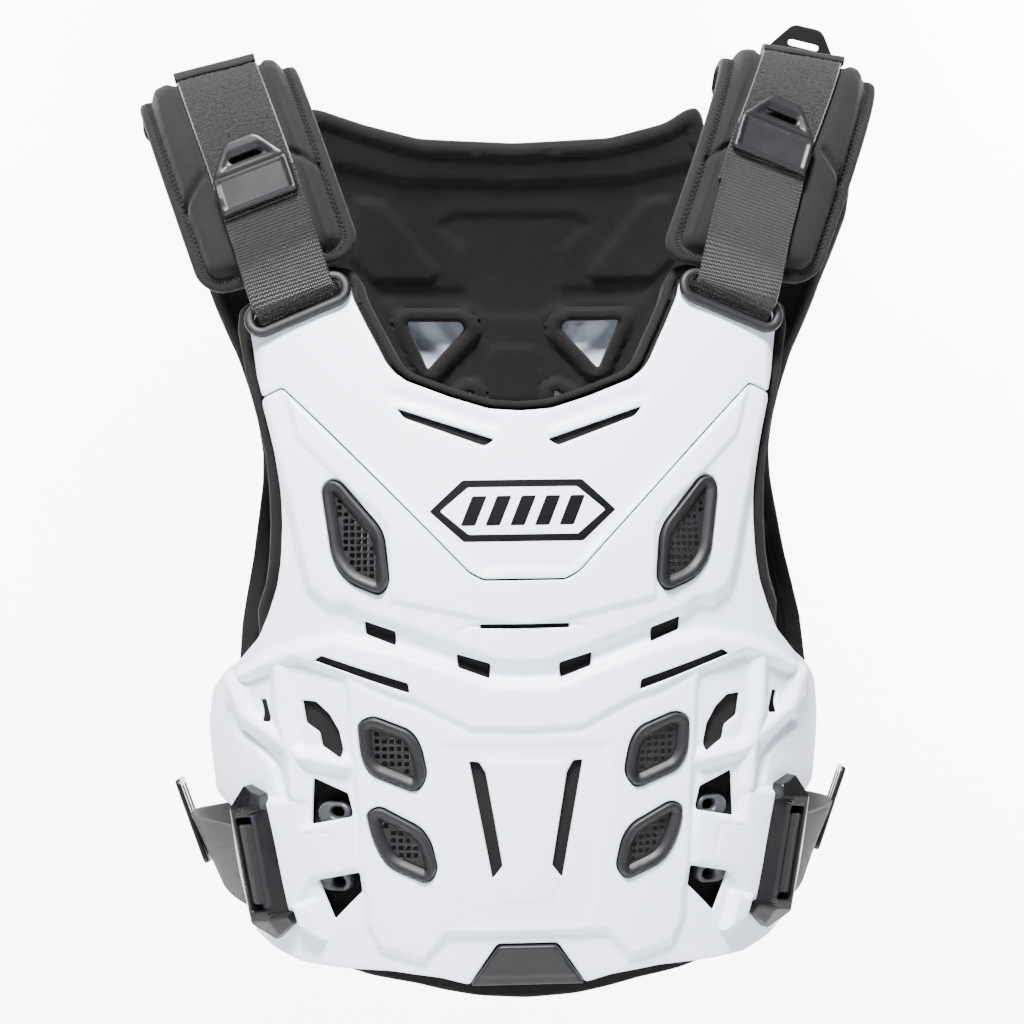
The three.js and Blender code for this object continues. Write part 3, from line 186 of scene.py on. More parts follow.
def area_of(loop):
    """Signed area by the shoelace rule, positive when the loop runs anticlockwise."""
    x, y = loop[:, 0], loop[:, 1]
    return 0.5 * np.sum(x * np.roll(y, -1) - y * np.roll(x, -1))


def edge_distance(loop, points, closed=True):
    """Distance from each point to the nearest place on a loop or an open line."""
    a = loop if closed else loop[:-1]
    b = np.roll(loop, -1, axis=0) if closed else loop[1:]
    best = np.full(len(points), np.inf)
    along = b - a
    length = np.maximum(np.sum(along * along, axis=1), 1e-12)
    for first in range(0, len(points), 4000):
        p = points[first:first + 4000]
        rel = p[:, None] - a[None]
        t = np.clip(np.sum(rel * along[None], axis=2) / length[None], 0, 1)
        gap = rel - t[..., None] * along[None]
        best[first:first + 4000] = np.sqrt(np.min(np.sum(gap * gap, axis=2), axis=1))
    return best


def inside_of(loop, points):
    """Even-odd rule: a point is inside when a level ray from it crosses the loop an odd number of times."""
    a, b = loop, np.roll(loop, -1, axis=0)
    crossings = np.zeros(len(points), int)
    for first in range(0, len(points), 8000):
        x, y = points[first:first + 8000, 0][:, None], points[first:first + 8000, 1][:, None]
        straddles = (a[None, :, 1] > y) != (b[None, :, 1] > y)
        rise = np.where(b[:, 1] == a[:, 1], 1e-12, b[:, 1] - a[:, 1])
        crossing_x = (b[:, 0] - a[:, 0])[None] * (y - a[None, :, 1]) / rise[None] + a[None, :, 0]
        crossings[first:first + 8000] = np.sum(straddles & (x < crossing_x), axis=1)
    return crossings % 2 == 1


def inset_points(loop, distance):
    """Each corner of an anticlockwise loop moved inwards along the mean normal of its two edges."""
    before, after = loop - np.roll(loop, 1, axis=0), np.roll(loop, -1, axis=0) - loop
    normals = np.stack([-before[:, 1] - after[:, 1], before[:, 0] + after[:, 0]], -1)
    normals /= np.maximum(np.linalg.norm(normals, axis=1, keepdims=True), 1e-9)
    return loop + normals * distance


def cut_grid(outline, holes, cell, bands=(0.5, 1.3), edge_step=None):
    """Points, triangles and boundary loops of a flat region, with each point's distance to its edge."""
    edge_step = edge_step or cell
    loops = [spaced(loop, edge_step) for loop in [outline, *holes]]
    loops = [loop if (area_of(loop) > 0) == (k == 0) else loop[::-1] for k, loop in enumerate(loops)]
    low, high = loops[0].min(axis=0), loops[0].max(axis=0)
    columns = np.arange(low[0], high[0], cell)
    rows = np.arange(low[1], high[1], cell * 0.866)
    grid = np.stack(np.meshgrid(columns, rows), -1)
    grid[1::2, :, 0] += cell / 2
    grid = grid.reshape(-1, 2)
    rings = [inset_points(loop, band) for loop in loops for band in bands]
    ring_needs = np.concatenate([np.zeros(0),
                                 *[np.full(len(loop), 0.8 * b) for loop in loops for b in bands]])
    free = np.concatenate([grid, *rings])
    needs = np.concatenate([np.full(len(grid), (bands[-1] if bands else 0) + 0.5 * cell), ring_needs])
    gap = np.min([edge_distance(loop, free) for loop in loops], axis=0)
    keep = (gap >= needs) & inside_of(loops[0], free)
    for hole in loops[1:]:
        keep &= ~inside_of(hole, free)
    border = np.concatenate(loops)
    points = np.concatenate([border, free[keep]])
    starts = np.cumsum([0] + [len(loop) for loop in loops])
    edges = np.concatenate([
        np.stack([np.arange(len(loop)), np.roll(np.arange(len(loop)), -1)], -1) + start
        for loop, start in zip(loops, starts)])
    result = delaunay_2d_cdt([Vector(p) for p in points.tolist()], edges.tolist(), [], 0, 1e-5)
    flat = np.array([tuple(v) for v in result[0]])
    triangles = np.array([f for f in result[2] if len(f) == 3])
    owners = np.repeat(np.arange(len(flat)), [len(ids) for ids in result[3]])
    new_id = np.zeros(len(points), int)
    new_id[np.fromiter(itertools.chain.from_iterable(result[3]), int)] = owners
    middle = flat[triangles].mean(axis=1)
    keep = inside_of(loops[0], middle)
    for hole in loops[1:]:
        keep &= ~inside_of(hole, middle)
    triangles = triangles[keep]
    a, b, c = flat[triangles[:, 0]], flat[triangles[:, 1]], flat[triangles[:, 2]]
    turn = (b[:, 0] - a[:, 0]) * (c[:, 1] - a[:, 1]) - (b[:, 1] - a[:, 1]) * (c[:, 0] - a[:, 0])
    triangles[turn < 0] = triangles[turn < 0][:, ::-1]
    triangles = triangles[np.abs(turn) > 1e-9]
    borders = [new_id[np.arange(len(loop)) + start] for loop, start in zip(loops, starts)]
    away = np.min([edge_distance(loop, flat) for loop in loops], axis=0)
    return flat, triangles, borders, away


def rounding(away, radius):
    """How far a quarter-round edge of the given radius lies under the face, at a distance from the edge."""
    inward = np.clip(radius - away, 0, radius)
    return radius - np.sqrt(np.maximum(radius**2 - inward**2, 0))


print("outline helpers ready")

# %% [markdown]
# The cut grid becomes a solid when it gets an outer face, an inner face and a wall along each border. The
# arrays go into the mesh in one call each, which is far quicker than adding faces one by one.

# %% Meshes from arrays


def mesh_from(name, points, faces, sharp=40.0):
    """An object whose mesh takes points in millimetres and a list of face arrays, three or four corners
    each."""
    mesh = bpy.data.meshes.new(name)
    mesh.vertices.add(len(points))
    mesh.vertices.foreach_set("co", (np.asarray(points) * MM).astype(np.float32).ravel())
    corners = np.concatenate([f.ravel() for f in faces]).astype(np.int32)
    sizes = np.concatenate([np.full(len(f), f.shape[1]) for f in faces]).astype(np.int32)
    mesh.loops.add(len(corners))
    mesh.loops.foreach_set("vertex_index", corners)
    mesh.polygons.add(len(sizes))
    mesh.polygons.foreach_set("loop_start", np.concatenate([[0], np.cumsum(sizes)[:-1]]).astype(np.int32))
    mesh.polygons.foreach_set("loop_total", sizes)
    mesh.polygons.foreach_set("use_smooth", np.ones(len(sizes), bool))
    mesh.update(calc_edges=True)
    mesh.validate()
    mesh.set_sharp_from_angle(angle=math.radians(sharp))
    piece = bpy.data.objects.new(name, mesh)
    bpy.context.scene.collection.objects.link(piece)
    return piece


def solid_between(name, triangles, borders, outer, inner, flipped=False, sharp=40.0):
    """Outer face, reversed inner face, and a wall of quads along every border."""
    n = len(outer)
    walls = []
    for border in borders:
        after = np.roll(border, -1)
        walls.append(np.stack([border + n, after + n, after, border], -1))
    faces = [triangles, triangles[:, ::-1] + n, *walls]
    if flipped:
        faces = [f[:, ::-1] for f in faces]
    return mesh_from(name, np.concatenate([outer, inner]), faces, sharp)


def panel_solid(name, panel, outline, holes, outer, inner, cell=2.6, bands=(0.5, 1.3), sharp=40.0):
    """A sheet on a panel's face. outer and inner give offsets along the normal from s, z, x and edge
    distance."""
    flat, triangles, borders, away = cut_grid(
        unrolled(panel, outline), [unrolled(panel, hole) for hole in holes], cell, bands)
    s, z = flat[:, 0], flat[:, 1]
    point, _, _, normal = face_frame(panel, s, z)
    x = point[:, 0] - panel["shift"]
    out, deep = outer(x, z, away)[:, None], inner(x, z, away)[:, None]
    piece = solid_between(
        name, triangles, borders, point + normal * out, point + normal * deep, panel["facing"] > 0, sharp)
    print(name, "triangles", 2 * len(triangles))
    return piece


def dress(piece, material, node=None):
    """Gives a piece its material, lets it ride on the root and hides the imported node that it replaces."""
    piece.data.materials.clear()
    piece.data.materials.append(material)
    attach(piece, "root")
    if node:
        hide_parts(node)
    return piece


def mirrored(half):
    """A closed outline from a half outline whose first and last points may lie on the middle line."""
    half = np.asarray(half, float)
    other = half[half[:, 0] > 0][::-1] * (-1, 1)
    return np.concatenate([half, other])


def on_side(outline, side):
    """The outline on the viewer's left or right."""
    return np.asarray(outline, float) * (side, 1)


print("mesh helpers ready")

# %% [markdown]
# Materials come before the pieces. The shells are satin white polyethylene: not a flat white, but a cool one
# with a faint unevenness from the mould, soft scuffs and a gloss that varies a little. Noise on Object
# coordinates stays fixed to the piece from every side.

# %% Material helpers
def new_material(name):
    """A node material with its Principled shader and a link helper."""
    material = bpy.data.materials.new(name)
    material.use_nodes = True
    nodes, links = material.node_tree.nodes, material.node_tree.links
    return material, nodes, links, nodes["Principled BSDF"]


def noise(nodes, links, scale, detail=4.0, source=None, rough=0.55):
    """Noise on Object coordinates, or on another vector."""
    node = nodes.new("ShaderNodeTexNoise")
    node.inputs["Scale"].default_value = scale
    node.inputs["Detail"].default_value = detail
    node.inputs["Roughness"].default_value = rough
    if source is None:
        source = nodes.new("ShaderNodeTexCoord").outputs["Object"]
    links.new(source, node.inputs["Vector"])
    return node


def ramp(nodes, links, value, low, high, first, last):
    """A colour ramp between two stops."""
    node = nodes.new("ShaderNodeValToRGB")
    node.color_ramp.elements[0].position = low
    node.color_ramp.elements[1].position = high
    node.color_ramp.elements[0].color = (*first, 1) if len(first) == 3 else first
    node.color_ramp.elements[1].color = (*last, 1) if len(last) == 3 else last
    links.new(value, node.inputs["Fac"])
    return node.outputs["Color"]


def bump(nodes, links, shader, height, distance, strength=1.0, before=None):
    """A bump node on the shader's normal, stacked on an earlier one if given."""
    node = nodes.new("ShaderNodeBump")
    node.inputs["Distance"].default_value = distance
    node.inputs["Strength"].default_value = strength
    links.new(height, node.inputs["Height"])
    if before:
        links.new(before.outputs["Normal"], node.inputs["Normal"])
    links.new(node.outputs["Normal"], shader.inputs["Normal"])
    return node


def arithmetic(nodes, links, operation, a, b=None):
    """A Math node on two inputs, each a number or a socket."""
    node = nodes.new("ShaderNodeMath")
    node.operation = operation
    for socket, value in zip(node.inputs, (a, b)):
        if value is None:
            continue
        if isinstance(value, (int, float)):
            socket.default_value = value
        else:
            links.new(value, socket)
    return node.outputs[0]


# %% Moulded plastics
def moulded(name, tone, shade, gloss, grain, scuff, coat=0.0):
    """Moulded plastic: two close tones mixed by slow noise, fine grain as bump, roughness from a second
    noise."""
    material, nodes, links, shader = new_material(name)
    cloudy = noise(nodes, links, 9.0, 3.0)
    links.new(ramp(nodes, links, cloudy.outputs["Fac"], 0.3, 0.75, tone, shade), shader.inputs["Base Color"])
    wear = noise(nodes, links, 55.0, 6.0, rough=0.7)
    low, high = gloss
    links.new(
        ramp(nodes, links, wear.outputs["Fac"], 0.35, 0.75, (low,) * 3, (high,) * 3),
        shader.inputs["Roughness"])
    fine = noise(nodes, links, 1900.0, 2.0)
    first = bump(nodes, links, shader, fine.outputs["Fac"], grain, 0.5)
    slow = noise(nodes, links, 14.0, 2.0)
    bump(nodes, links, shader, slow.outputs["Fac"], scuff, 0.35, first)
    shader.inputs["Coat Weight"].default_value = coat
    shader.inputs["Coat Roughness"].default_value = 0.25
    shader.inputs["IOR"].default_value = 1.5
    return material


WHITE_SHELL = moulded("white shell", (0.77, 0.835, 0.95), (0.74, 0.805, 0.925), (0.38, 0.5), 0.00002, 0.0006)
BLACK_SATIN = moulded("black satin plastic", (0.008, 0.008, 0.009), (0.005, 0.005, 0.006), (0.38, 0.5),
                      0.00004, 0.0001)
CHARCOAL_RUBBER = moulded("charcoal soft plastic", (0.006, 0.006, 0.007), (0.004, 0.004, 0.005),
                          (0.46, 0.6), 0.00005,
                          0.0001)
BUCKLE_BLACK = moulded("glossy buckle plastic", (0.005, 0.0045, 0.005), (0.0035, 0.003, 0.0035),
                       (0.26, 0.4), 0.00002,
                       0.0001)
HOOK_GREY = moulded("grey hook plastic", (0.030, 0.031, 0.036), (0.024, 0.025, 0.029), (0.4, 0.52), 0.00003,
                    0.0001)
for dull in (CHARCOAL_RUBBER, BLACK_SATIN, BUCKLE_BLACK):
    dull.node_tree.nodes["Principled BSDF"].inputs["Specular IOR Level"].default_value = 0.32
PRINT_BLACK = moulded("black print", (0.0015, 0.0015, 0.002), (0.0025, 0.0025, 0.003), (0.5, 0.62), 0.00001,
                      0.0002)
PRINT_BLACK.node_tree.nodes["Principled BSDF"].inputs["Specular IOR Level"].default_value = 0.08
print("plastics ready")

# %% [markdown]
# The soft materials: foam faced with a thin knit, woven cloth on the pads, ribbed webbing and the loop pile
# of the hook-and-loop strip. Ribs and weave follow the strap, so they read the strap's own UV map, where one
# unit is one millimetre along and across.

# %% Foam and cloth
def knit_foam(name, tone, shade):
    """Cloth-faced foam: a dense small noise for the knit, soft dents from a slow noise, sheen for the
    fibres."""
    material, nodes, links, shader = new_material(name)
    cloudy = noise(nodes, links, 26.0, 4.0)
    links.new(ramp(nodes, links, cloudy.outputs["Fac"], 0.3, 0.72, tone, shade), shader.inputs["Base Color"])
    shader.inputs["Roughness"].default_value = 0.88
    shader.inputs["Sheen Weight"].default_value = 0.04
    shader.inputs["Sheen Roughness"].default_value = 0.5
    shader.inputs["Specular IOR Level"].default_value = 0.14
    knit = noise(nodes, links, 1300.0, 2.0)
    first = bump(nodes, links, shader, knit.outputs["Fac"], 0.00018, 0.7)
    dents = noise(nodes, links, 42.0, 3.0)
    bump(nodes, links, shader, dents.outputs["Fac"], 0.0011, 0.5, first)
    return material


def pile(name):
    """Loop pile: a coarse speckle in height, with painted shade: the colour follows the same noise as the
    bump, near black where the pile is low and lighter on the raised loops.
    """
    material, nodes, links, shader = new_material(name)
    loops = noise(nodes, links, 620.0, 5.0, rough=0.75)
    # painted shade: the same noise sets colour and bump height, so the low pile between loops is near black
    # and the raised loops lighter
    links.new(
        ramp(nodes, links, loops.outputs["Fac"], 0.46, 0.78, (0.0002, 0.0002, 0.0002),
             (0.015, 0.0145, 0.016)),
        shader.inputs["Base Color"])
    shader.inputs["Roughness"].default_value = 0.95
    shader.inputs["Sheen Weight"].default_value = 0.05
    bump(nodes, links, shader, loops.outputs["Fac"], 0.0012, 1.0)
    return material


def woven(name, tone, shade, rib, yarn, rib_depth, gloss):
    """Webbing: a wave across each rib along the strap, broken by a wave across the yarns. The colour follows
    that wave: painted shade darkens the gaps between ribs and yarns, the tops keep the yarn's tone."""
    material, nodes, links, shader = new_material(name)
    uv = nodes.new("ShaderNodeUVMap")
    uv.uv_map = "weave"
    split = nodes.new("ShaderNodeSeparateXYZ")
    links.new(uv.outputs["UV"], split.inputs[0])
    along = arithmetic(nodes, links, "MULTIPLY", split.outputs["Y"], 2 * math.pi / rib)
    half_step = arithmetic(nodes, links, "FLOOR",
                           arithmetic(nodes, links, "DIVIDE", split.outputs["X"], yarn))
    odd = arithmetic(nodes, links, "MODULO", half_step, 2.0)
    shifted = arithmetic(nodes, links, "ADD", along,
                         arithmetic(nodes, links, "MULTIPLY", odd, math.pi * 0.35))
    ribs = arithmetic(nodes, links, "ABSOLUTE",
                      arithmetic(nodes, links, "SINE", arithmetic(nodes, links, "MULTIPLY", shifted, 0.5)))
    across = arithmetic(nodes, links, "MULTIPLY", split.outputs["X"], math.pi / yarn)
    yarns = arithmetic(nodes, links, "ABSOLUTE", arithmetic(nodes, links, "SINE", across))
    height = arithmetic(nodes, links, "MULTIPLY", ribs,
        arithmetic(nodes, links, "ADD", arithmetic(nodes, links, "MULTIPLY", yarns, 0.45), 0.55))
    # painted shade: colour runs from the dark second colour in the low gaps between ribs to the yarn's tone on
    # the rib tops, following the bump's height
    links.new(ramp(nodes, links, height, 0.12, 0.75, shade, tone), shader.inputs["Base Color"])
    shader.inputs["Roughness"].default_value = gloss
    shader.inputs["Sheen Weight"].default_value = 0.06
    first = bump(nodes, links, shader, height, rib_depth, 1.0)
    stray = noise(nodes, links, 900.0, 3.0)
    bump(nodes, links, shader, stray.outputs["Fac"], 0.0001, 0.5, first)
    return material


LINER_FOAM = knit_foam("foam with knit face", (0.0062, 0.0054, 0.0057), (0.0042, 0.0037, 0.0039))
PAD_CLOTH = knit_foam("pad cloth", (0.0100, 0.0089, 0.0098), (0.0070, 0.0063, 0.0069))
SATIN_TAPE = knit_foam("satin tape", (0.016, 0.015, 0.014), (0.010, 0.009, 0.009))
THREAD = knit_foam("thread", (0.027, 0.025, 0.026), (0.016, 0.015, 0.016))
PALE_THREAD = knit_foam("pale thread", (0.17, 0.165, 0.165), (0.035, 0.034, 0.035))
LOOP_PILE = pile("loop pile")
# the first colour of each is the yarn's own, the second is the painted shade in the gaps between the ribs
WEBBING = woven("ribbed webbing", (0.0085, 0.008, 0.0078), (0.0003, 0.0003, 0.0003), 2.1, 1.3, 0.0007, 0.38)
ELASTIC = woven("side elastic", (0.0055, 0.005, 0.0053), (0.0015, 0.0015, 0.0015), 1.6, 1.1, 0.0003, 0.8)
for ribbed in (WEBBING, ELASTIC):
    ribbed.node_tree.nodes["Principled BSDF"].inputs["Specular IOR Level"].default_value = 0.3
print("soft materials ready")

# %% [markdown]
# The chest shell gets its character from steps and ribs in the moulding. Each form is a row of a table: an
# outline seen from the front, the level inside it and the width of its sloping edge. They are painted over
# each other in order, like layers, so a later form can rise from an earlier one or sink into it. One side
# serves both, because the forms are evaluated at the distance from the middle line.

# %% The chest shell's forms
PAST_MIDDLE = -60.0
CHEST_PLATE = [(0, -60), (170, -60), (153.6, -133.8), (150.5, -191.4), (142, -226.5), (132.9, -262),
               (127.4, -288.4),
               (122.9, -305.9), (111.9, -315.3), (102, -315.3), (94, -321.1), (68.2, -330), (40.7, -340.6),
               (13.8, -350.2), (0, -352.2)]
BELT = [(0, -362.6), (20.3, -360), (40.3, -352.2), (71.8, -341), (106.4, -333.9), (128.7, -337.5),
        (149, -344.3),
        (164.4, -355.5), (171.4, -364.8), (172.2, -373.3), (162.8, -372.6), (160.2, -364.2), (152.8, -356.8),
        (131.7, -347.5), (102.6, -355.4), (76.8, -368.2), (63.6, -371.7), (48.1, -379.9), (31.6, -388.2),
        (0, -391.5)]
LOWER_PLATE = [(0, -392), (31.6, -388.5), (48.2, -380), (63.6, -372), (76.8, -368.5), (102.7, -356),
               (101.1, -370),
               (99.2, -404.9), (97.2, -428.3), (96.1, -469.4), (92.8, -484.1), (91.8, -501.9), (85, -515.4),
               (59.6, -522.7), (46.2, -506.6), (0, -505.2)]
LANDING = [(156.4, -430.7), (131.2, -427.5), (127.9, -444.5), (100.3, -437.1), (97.8, -469.4), (123, -475.2),
           (132.2, -492), (137.2, -500.4), (155.7, -511.6)]
BLOCK = [(134, -492.2), (122.7, -488.4), (117.1, -510.9), (130.6, -504)]
BLOCK_PIT = [(138.2, -505), (116.2, -513.7), (119.6, -518.1), (134.8, -513.3)]
POCKET = [(171, -362), (152, -356), (131, -348), (112, -357), (104, -368), (104, -400), (128, -400),
          (140, -395),
          (166, -378)]
LATCH_BED = [(132, -408), (110, -411), (99, -423), (98.5, -440), (126, -446)]
VENT_LEDGE = [(0, -289.8), (25.2, -296.4), (133.9, -191.9), (126.5, -218.1), (107.4, -238.4), (81.6, -262.7),
              (76, -272), (74.8, -312), (0, -341.8)]
CENTRE_PANEL = [(0, -396.7), (48.4, -396.1), (43, -428.1), (37.9, -486.5), (34.6, -501.3), (0, -502.9)]
CENTRE_TONGUE = [(0, -406.5), (24.3, -406.2), (18.7, -474.9), (13, -486.8), (0, -488.1)]
# outline, level in mm, width of the sloping edge in mm
LEVELS = [
    (CHEST_PLATE, 4.6, 11.0), (BELT, 4.4, 9.0), (LOWER_PLATE, 2.8, 6.5), (POCKET, -1.6, 7.0),
    (LATCH_BED, -0.6, 5.5), (LANDING, 3.2, 4.6), (BLOCK, 5.4, 4.4), (BLOCK_PIT, -2.0, 4.4),
]
# outline, height to add in mm, width of the sloping edge in mm
ADDED = [(VENT_LEDGE, 1.6, 4.4), (CENTRE_PANEL, -0.9, 6.0), (CENTRE_TONGUE, 0.8, 5.0)]
RIB_LONG = [(170, -362), (167.5, -367.5), (164.7, -375.1), (160.4, -381.4), (146.1, -390.8), (137.8, -397),
            (129.6, -403.2), (104.5, -407.9)]
RIB_UPRIGHT = [(141.4, -352), (140.5, -380.6), (136, -396.9), (134.4, -406.9), (132.9, -426.3)]
# line, height in mm, half width in mm: ribs stand up, grooves go down
LINES = [
    (RIB_LONG, 4.0, 8.0), (RIB_UPRIGHT, 4.0, 8.0),
    ([(166.7, -390.4), (153.4, -399.7), (144.9, -409.1), (142.7, -421.8)], -2.6, 4.0),
    ([(133.3, -450.1), (113.8, -446.9), (110.6, -465.7)], -0.5, 1.2),
    ([(71.8, -194.7), (46.4, -202.2), (16.5, -212)], -1.2, 6.0),
    ([(25.6, -327), (36, -328.6), (40, -332)], -0.7, 1.6),
]


def past_middle(outline):
    """Points on the middle line are pushed past it, so that the form has no edge there."""
    outline = np.asarray(outline, float)
    outline[outline[:, 0] == 0, 0] = PAST_MIDDLE
    return outline


def mask(outline, points, edge):
    """1 well inside the outline, 0 well outside, and a smooth step across its edge."""
    outline = past_middle(outline)
    signed = edge_distance(outline, points) * np.where(inside_of(outline, points), 1, -1)
    t = np.clip(signed / edge + 0.5, 0, 1)
    return t * t * (3 - 2 * t)


RELIEF = 1.35


def chest_relief(x, z):
    """Height of the shell's forms at x and z, all raised by the one factor RELIEF."""
    points = np.stack([np.abs(x), z], -1)
    height = np.zeros(len(points))
    for outline, level, edge in LEVELS:
        share = mask(outline, points, edge)
        height = height * (1 - share) + level * share
    for outline, level, edge in ADDED:
        height += level * mask(outline, points, edge)
    for line, level, width in LINES:
        away = edge_distance(np.asarray(line, float), points, closed=False)
        t = np.clip(1 - away / width, 0, 1)
        bell = t * t * (3 - 2 * t)
        height = np.maximum(height, level * bell) if level > 1 else height + level * bell
    return height * RELIEF


print("forms", len(LEVELS) + len(ADDED) + len(LINES))

# %% [markdown]
# The shell's outline and its slots come next, measured from the middle line. Vents and the badge sit in
# holes of the same tables, so that a vent's frame always fits the hole that was cut for it.

# %% Outlines of the chest
def front_z(down):
    """Height of a share of the chest panel."""
    return FRONT["top"] - down * FRONT["height"]


CHEST_SIDE = [(158, -150), (153, -180), (149, -194.9), (142.3, -225), (140.4, -245), (139.7, -266.9),
              (141, -290),
              (143.4, -304.2), (148.7, -319.9), (154.9, -334), (166, -346.8), (177, -355.9), (184, -365.8),
              (187.2, -387), (182.7, -430), (172, -437.5), (164, -500), (159, -512), (149, -519.9),
              (131.6, -526.9)]
CHEST_HEM = [(110, -528.6), (79, -529.4), (50, -533.1), (33.8, -536), (0, -536)]
SEAM = [(0, -300.8), (23.3, -300.8), (31.4, -296.3), (136.5, -187.8), (148.5, -193.2)]
NECK_EDGE = [(0, -204.4), (18, -203.1), (40, -196.1), (65, -186.2), (72, -180.8), (76.5, -175), (88, -151.8),
             (95, -136.9), (97.5, -127.5), (101, -121.6), (106, -120.3), (150, -138), (158, -143.5)]
NECK_SLOT = [(71.1, -201.9), (15.2, -221), (21, -224.7), (66.6, -207.7)]
STEP_SLOT_UPPER = [(92.1, -324), (74.3, -330.2), (74.3, -338.5), (91.6, -331.9)]
STEP_SLOT_LOWER = [(39.3, -343.5), (19.9, -349.3), (20.5, -358), (38.5, -351.4)]
BELT_SLOT = [(119.9, -346.8), (115.6, -343.9), (66.7, -360), (65.8, -365.8)]
MIDDLE_SLOT = [(32.7, -405.6), (27.3, -406), (23.3, -412.6), (14.3, -466.4), (20.1, -473.9)]
SIDE_SLOT = [(154.7, -370.4), (150.8, -370.4), (147.6, -383.6), (151.5, -383.6)]
SIDE_WINDOW = [(129.3, -370.4), (121.3, -371.2), (113.6, -378.3), (108, -388), (105.7, -398.6),
               (106.6, -403.9),
               (117.9, -397.3), (119.6, -389), (127.3, -383.6)]
LATCH_WINDOW_UPPER = [(123.3, -415.9), (103.4, -424.6), (100.2, -437.9), (124.6, -443.3)]
LATCH_WINDOW_LOWER = [(121.3, -476.4), (96.8, -471), (95.7, -482.2), (112, -499.6)]
THIN_SLOT = [(-25.5, -326.2), (25.5, -326.2), (25.5, -328.8), (-25.5, -328.8)]
BADGE_HALF = [(0, -513.6), (15.8, -513.6), (17.7, -514.9), (33.2, -537.2), (0, -537.2)]
GUIDE_CENTRE = (127.1, -139.8)
GUIDE_TURN = 0.4


def bar_outline(length, height, radius, steps=6):
    """A rectangle with round corners, anticlockwise from its right end."""
    turn = np.linspace(0, math.pi / 2, steps + 1)
    corners = []
    for k, (sx, sy) in enumerate([(1, 1), (-1, 1), (-1, -1), (1, -1)]):
        angle = turn + k * math.pi / 2
        corners.append(np.stack([
            sx * (length / 2 - radius) + radius * np.cos(angle),
            sy * (height / 2 - radius) + radius * np.sin(angle)], -1))
    return np.concatenate(corners)


def guide_loop(side, length, height, radius):
    """The strap guide's outline on the chest, as x and z."""
    loop = bar_outline(length, height, radius)
    turn = -side * GUIDE_TURN
    turned = loop @ np.array([[math.cos(turn), math.sin(turn)], [-math.sin(turn), math.cos(turn)]])
    return turned * (0.97, 1.0) + (side * GUIDE_CENTRE[0], GUIDE_CENTRE[1])


def slots_of(names, soft=1.2):
    """Both sides of each slot, corners softened."""
    return [on_side(softened(slot, soft, 3), side) for slot in names for side in (-1, 1)]


print("outlines ready")

# %% [markdown]
# Vents: moulded frames with a fine net, three on each side. Each is placed on a flat frame that touches the
# shell at its centre. The frame of axes also carries the badge, guides and buckles.

# %% Vents in their places
VENT_UPPER = [(20.3, 28), (15.4, 34.3), (8.4, 32.9), (-15.4, 6.3), (-18.5, -0.7), (-21.7, -26.6),
              (-16.1, -33.6),
              (3.5, -25.9), (13.3, -13.3)]
VENT_MID = [(19.3, 18.4), (10.1, 23), (-12.9, 14.3), (-18.4, 5.5), (-22.1, -12.9), (-15.2, -22.1),
            (12, -11.5),
            (17.5, -2.3)]
VENT_LOW = [(19.3, 18.4), (11, 23), (-13.8, 10.1), (-19.3, 1.8), (-23, -15.6), (-16.6, -23), (7.4, -12.9),
            (15.6, 1.8)]
VENT_PLACES = {"upper": (VENT_UPPER, 95.9, -276.0), "mid": (VENT_MID, 77.6, -401.5),
               "low": (VENT_LOW, 73.3, -453.6)}


def plane_at(panel, x, z, out=0.0, turn=0.0):
    """Origin and three axes of a flat frame on the face: across to the viewer's right, up, and out."""
    s = unrolled(panel, [(x, z)])[0, 0]
    point, _, _, normal = face_frame(panel, np.array([s]), np.array([float(z)]))
    n = normal[0]
    across = np.cross((0, 0, 1), n)
    across /= np.linalg.norm(across)
    up = np.cross(n, across)
    c, k = math.cos(turn), math.sin(turn)
    return point[0] + n * out, np.stack([c * across + k * up, c * up - k * across, n])


def lifted(plane, flat, height):
    """Points of a flat piece at their heights above its plane."""
    origin, axes = plane
    return origin + flat[:, :1] * axes[0] + flat[:, 1:2] * axes[1] + np.asarray(height)[:, None] * axes[2]


def plate(name, plane, outline, holes, top, bottom, cell=2.0, bands=(0.4, 1.0), sharp=40.0, edge_step=None):
    """A cut plate on a plane. top and bottom give heights from the flat points and their edge distance."""
    flat, triangles, borders, away = cut_grid(np.asarray(outline, float), holes, cell, bands, edge_step)
    return solid_between(
        name, triangles, borders, lifted(plane, flat, top(flat, away)),
        lifted(plane, flat, bottom(flat, away)),
        sharp=sharp)


def joined(name, pieces, sharp=40.0):
    """One object from several, kept as separate closed shells of one mesh."""
    points, faces3, faces4, count = [], [], [], 0
    for piece in pieces:
        mesh = piece.data
        co = np.empty(len(mesh.vertices) * 3, np.float32)
        mesh.vertices.foreach_get("co", co)
        corners = np.empty(len(mesh.loops), np.int32)
        mesh.loops.foreach_get("vertex_index", corners)
        total = np.empty(len(mesh.polygons), np.int32)
        mesh.polygons.foreach_get("loop_total", total)
        starts = np.concatenate([[0], np.cumsum(total)[:-1]])
        for n, bag in ((3, faces3), (4, faces4)):
            first = starts[total == n]
            bag.append(corners[first[:, None] + np.arange(n)] + count)
        points.append(co.reshape(-1, 3) / MM)
        count += len(mesh.vertices)
        bpy.data.objects.remove(piece)
        bpy.data.meshes.remove(mesh)
    faces = [f for f in (np.concatenate(faces3), np.concatenate(faces4)) if len(f)]
    return mesh_from(name, np.concatenate(points), faces, sharp)


def vent_loop(name, side, inset=0.0):
    """A vent's outline in its own plane, corners round, moved in by `inset`."""
    loop = softened(on_side(VENT_PLACES[name][0], side), 9.0, 6)
    loop = loop if area_of(loop) > 0 else loop[::-1]
    return inset_points(loop, inset) if inset else loop


def vent_on_chest(name, side, inset):
    """The vent's outline laid on the chest, as x and z."""
    _, x, z = VENT_PLACES[name]
    origin, axes = plane_at(FRONT, side * x, z)
    spots = lifted((origin, axes), vent_loop(name, side, inset), np.zeros(len(vent_loop(name, side, inset))))
    return spots[:, [0, 2]]


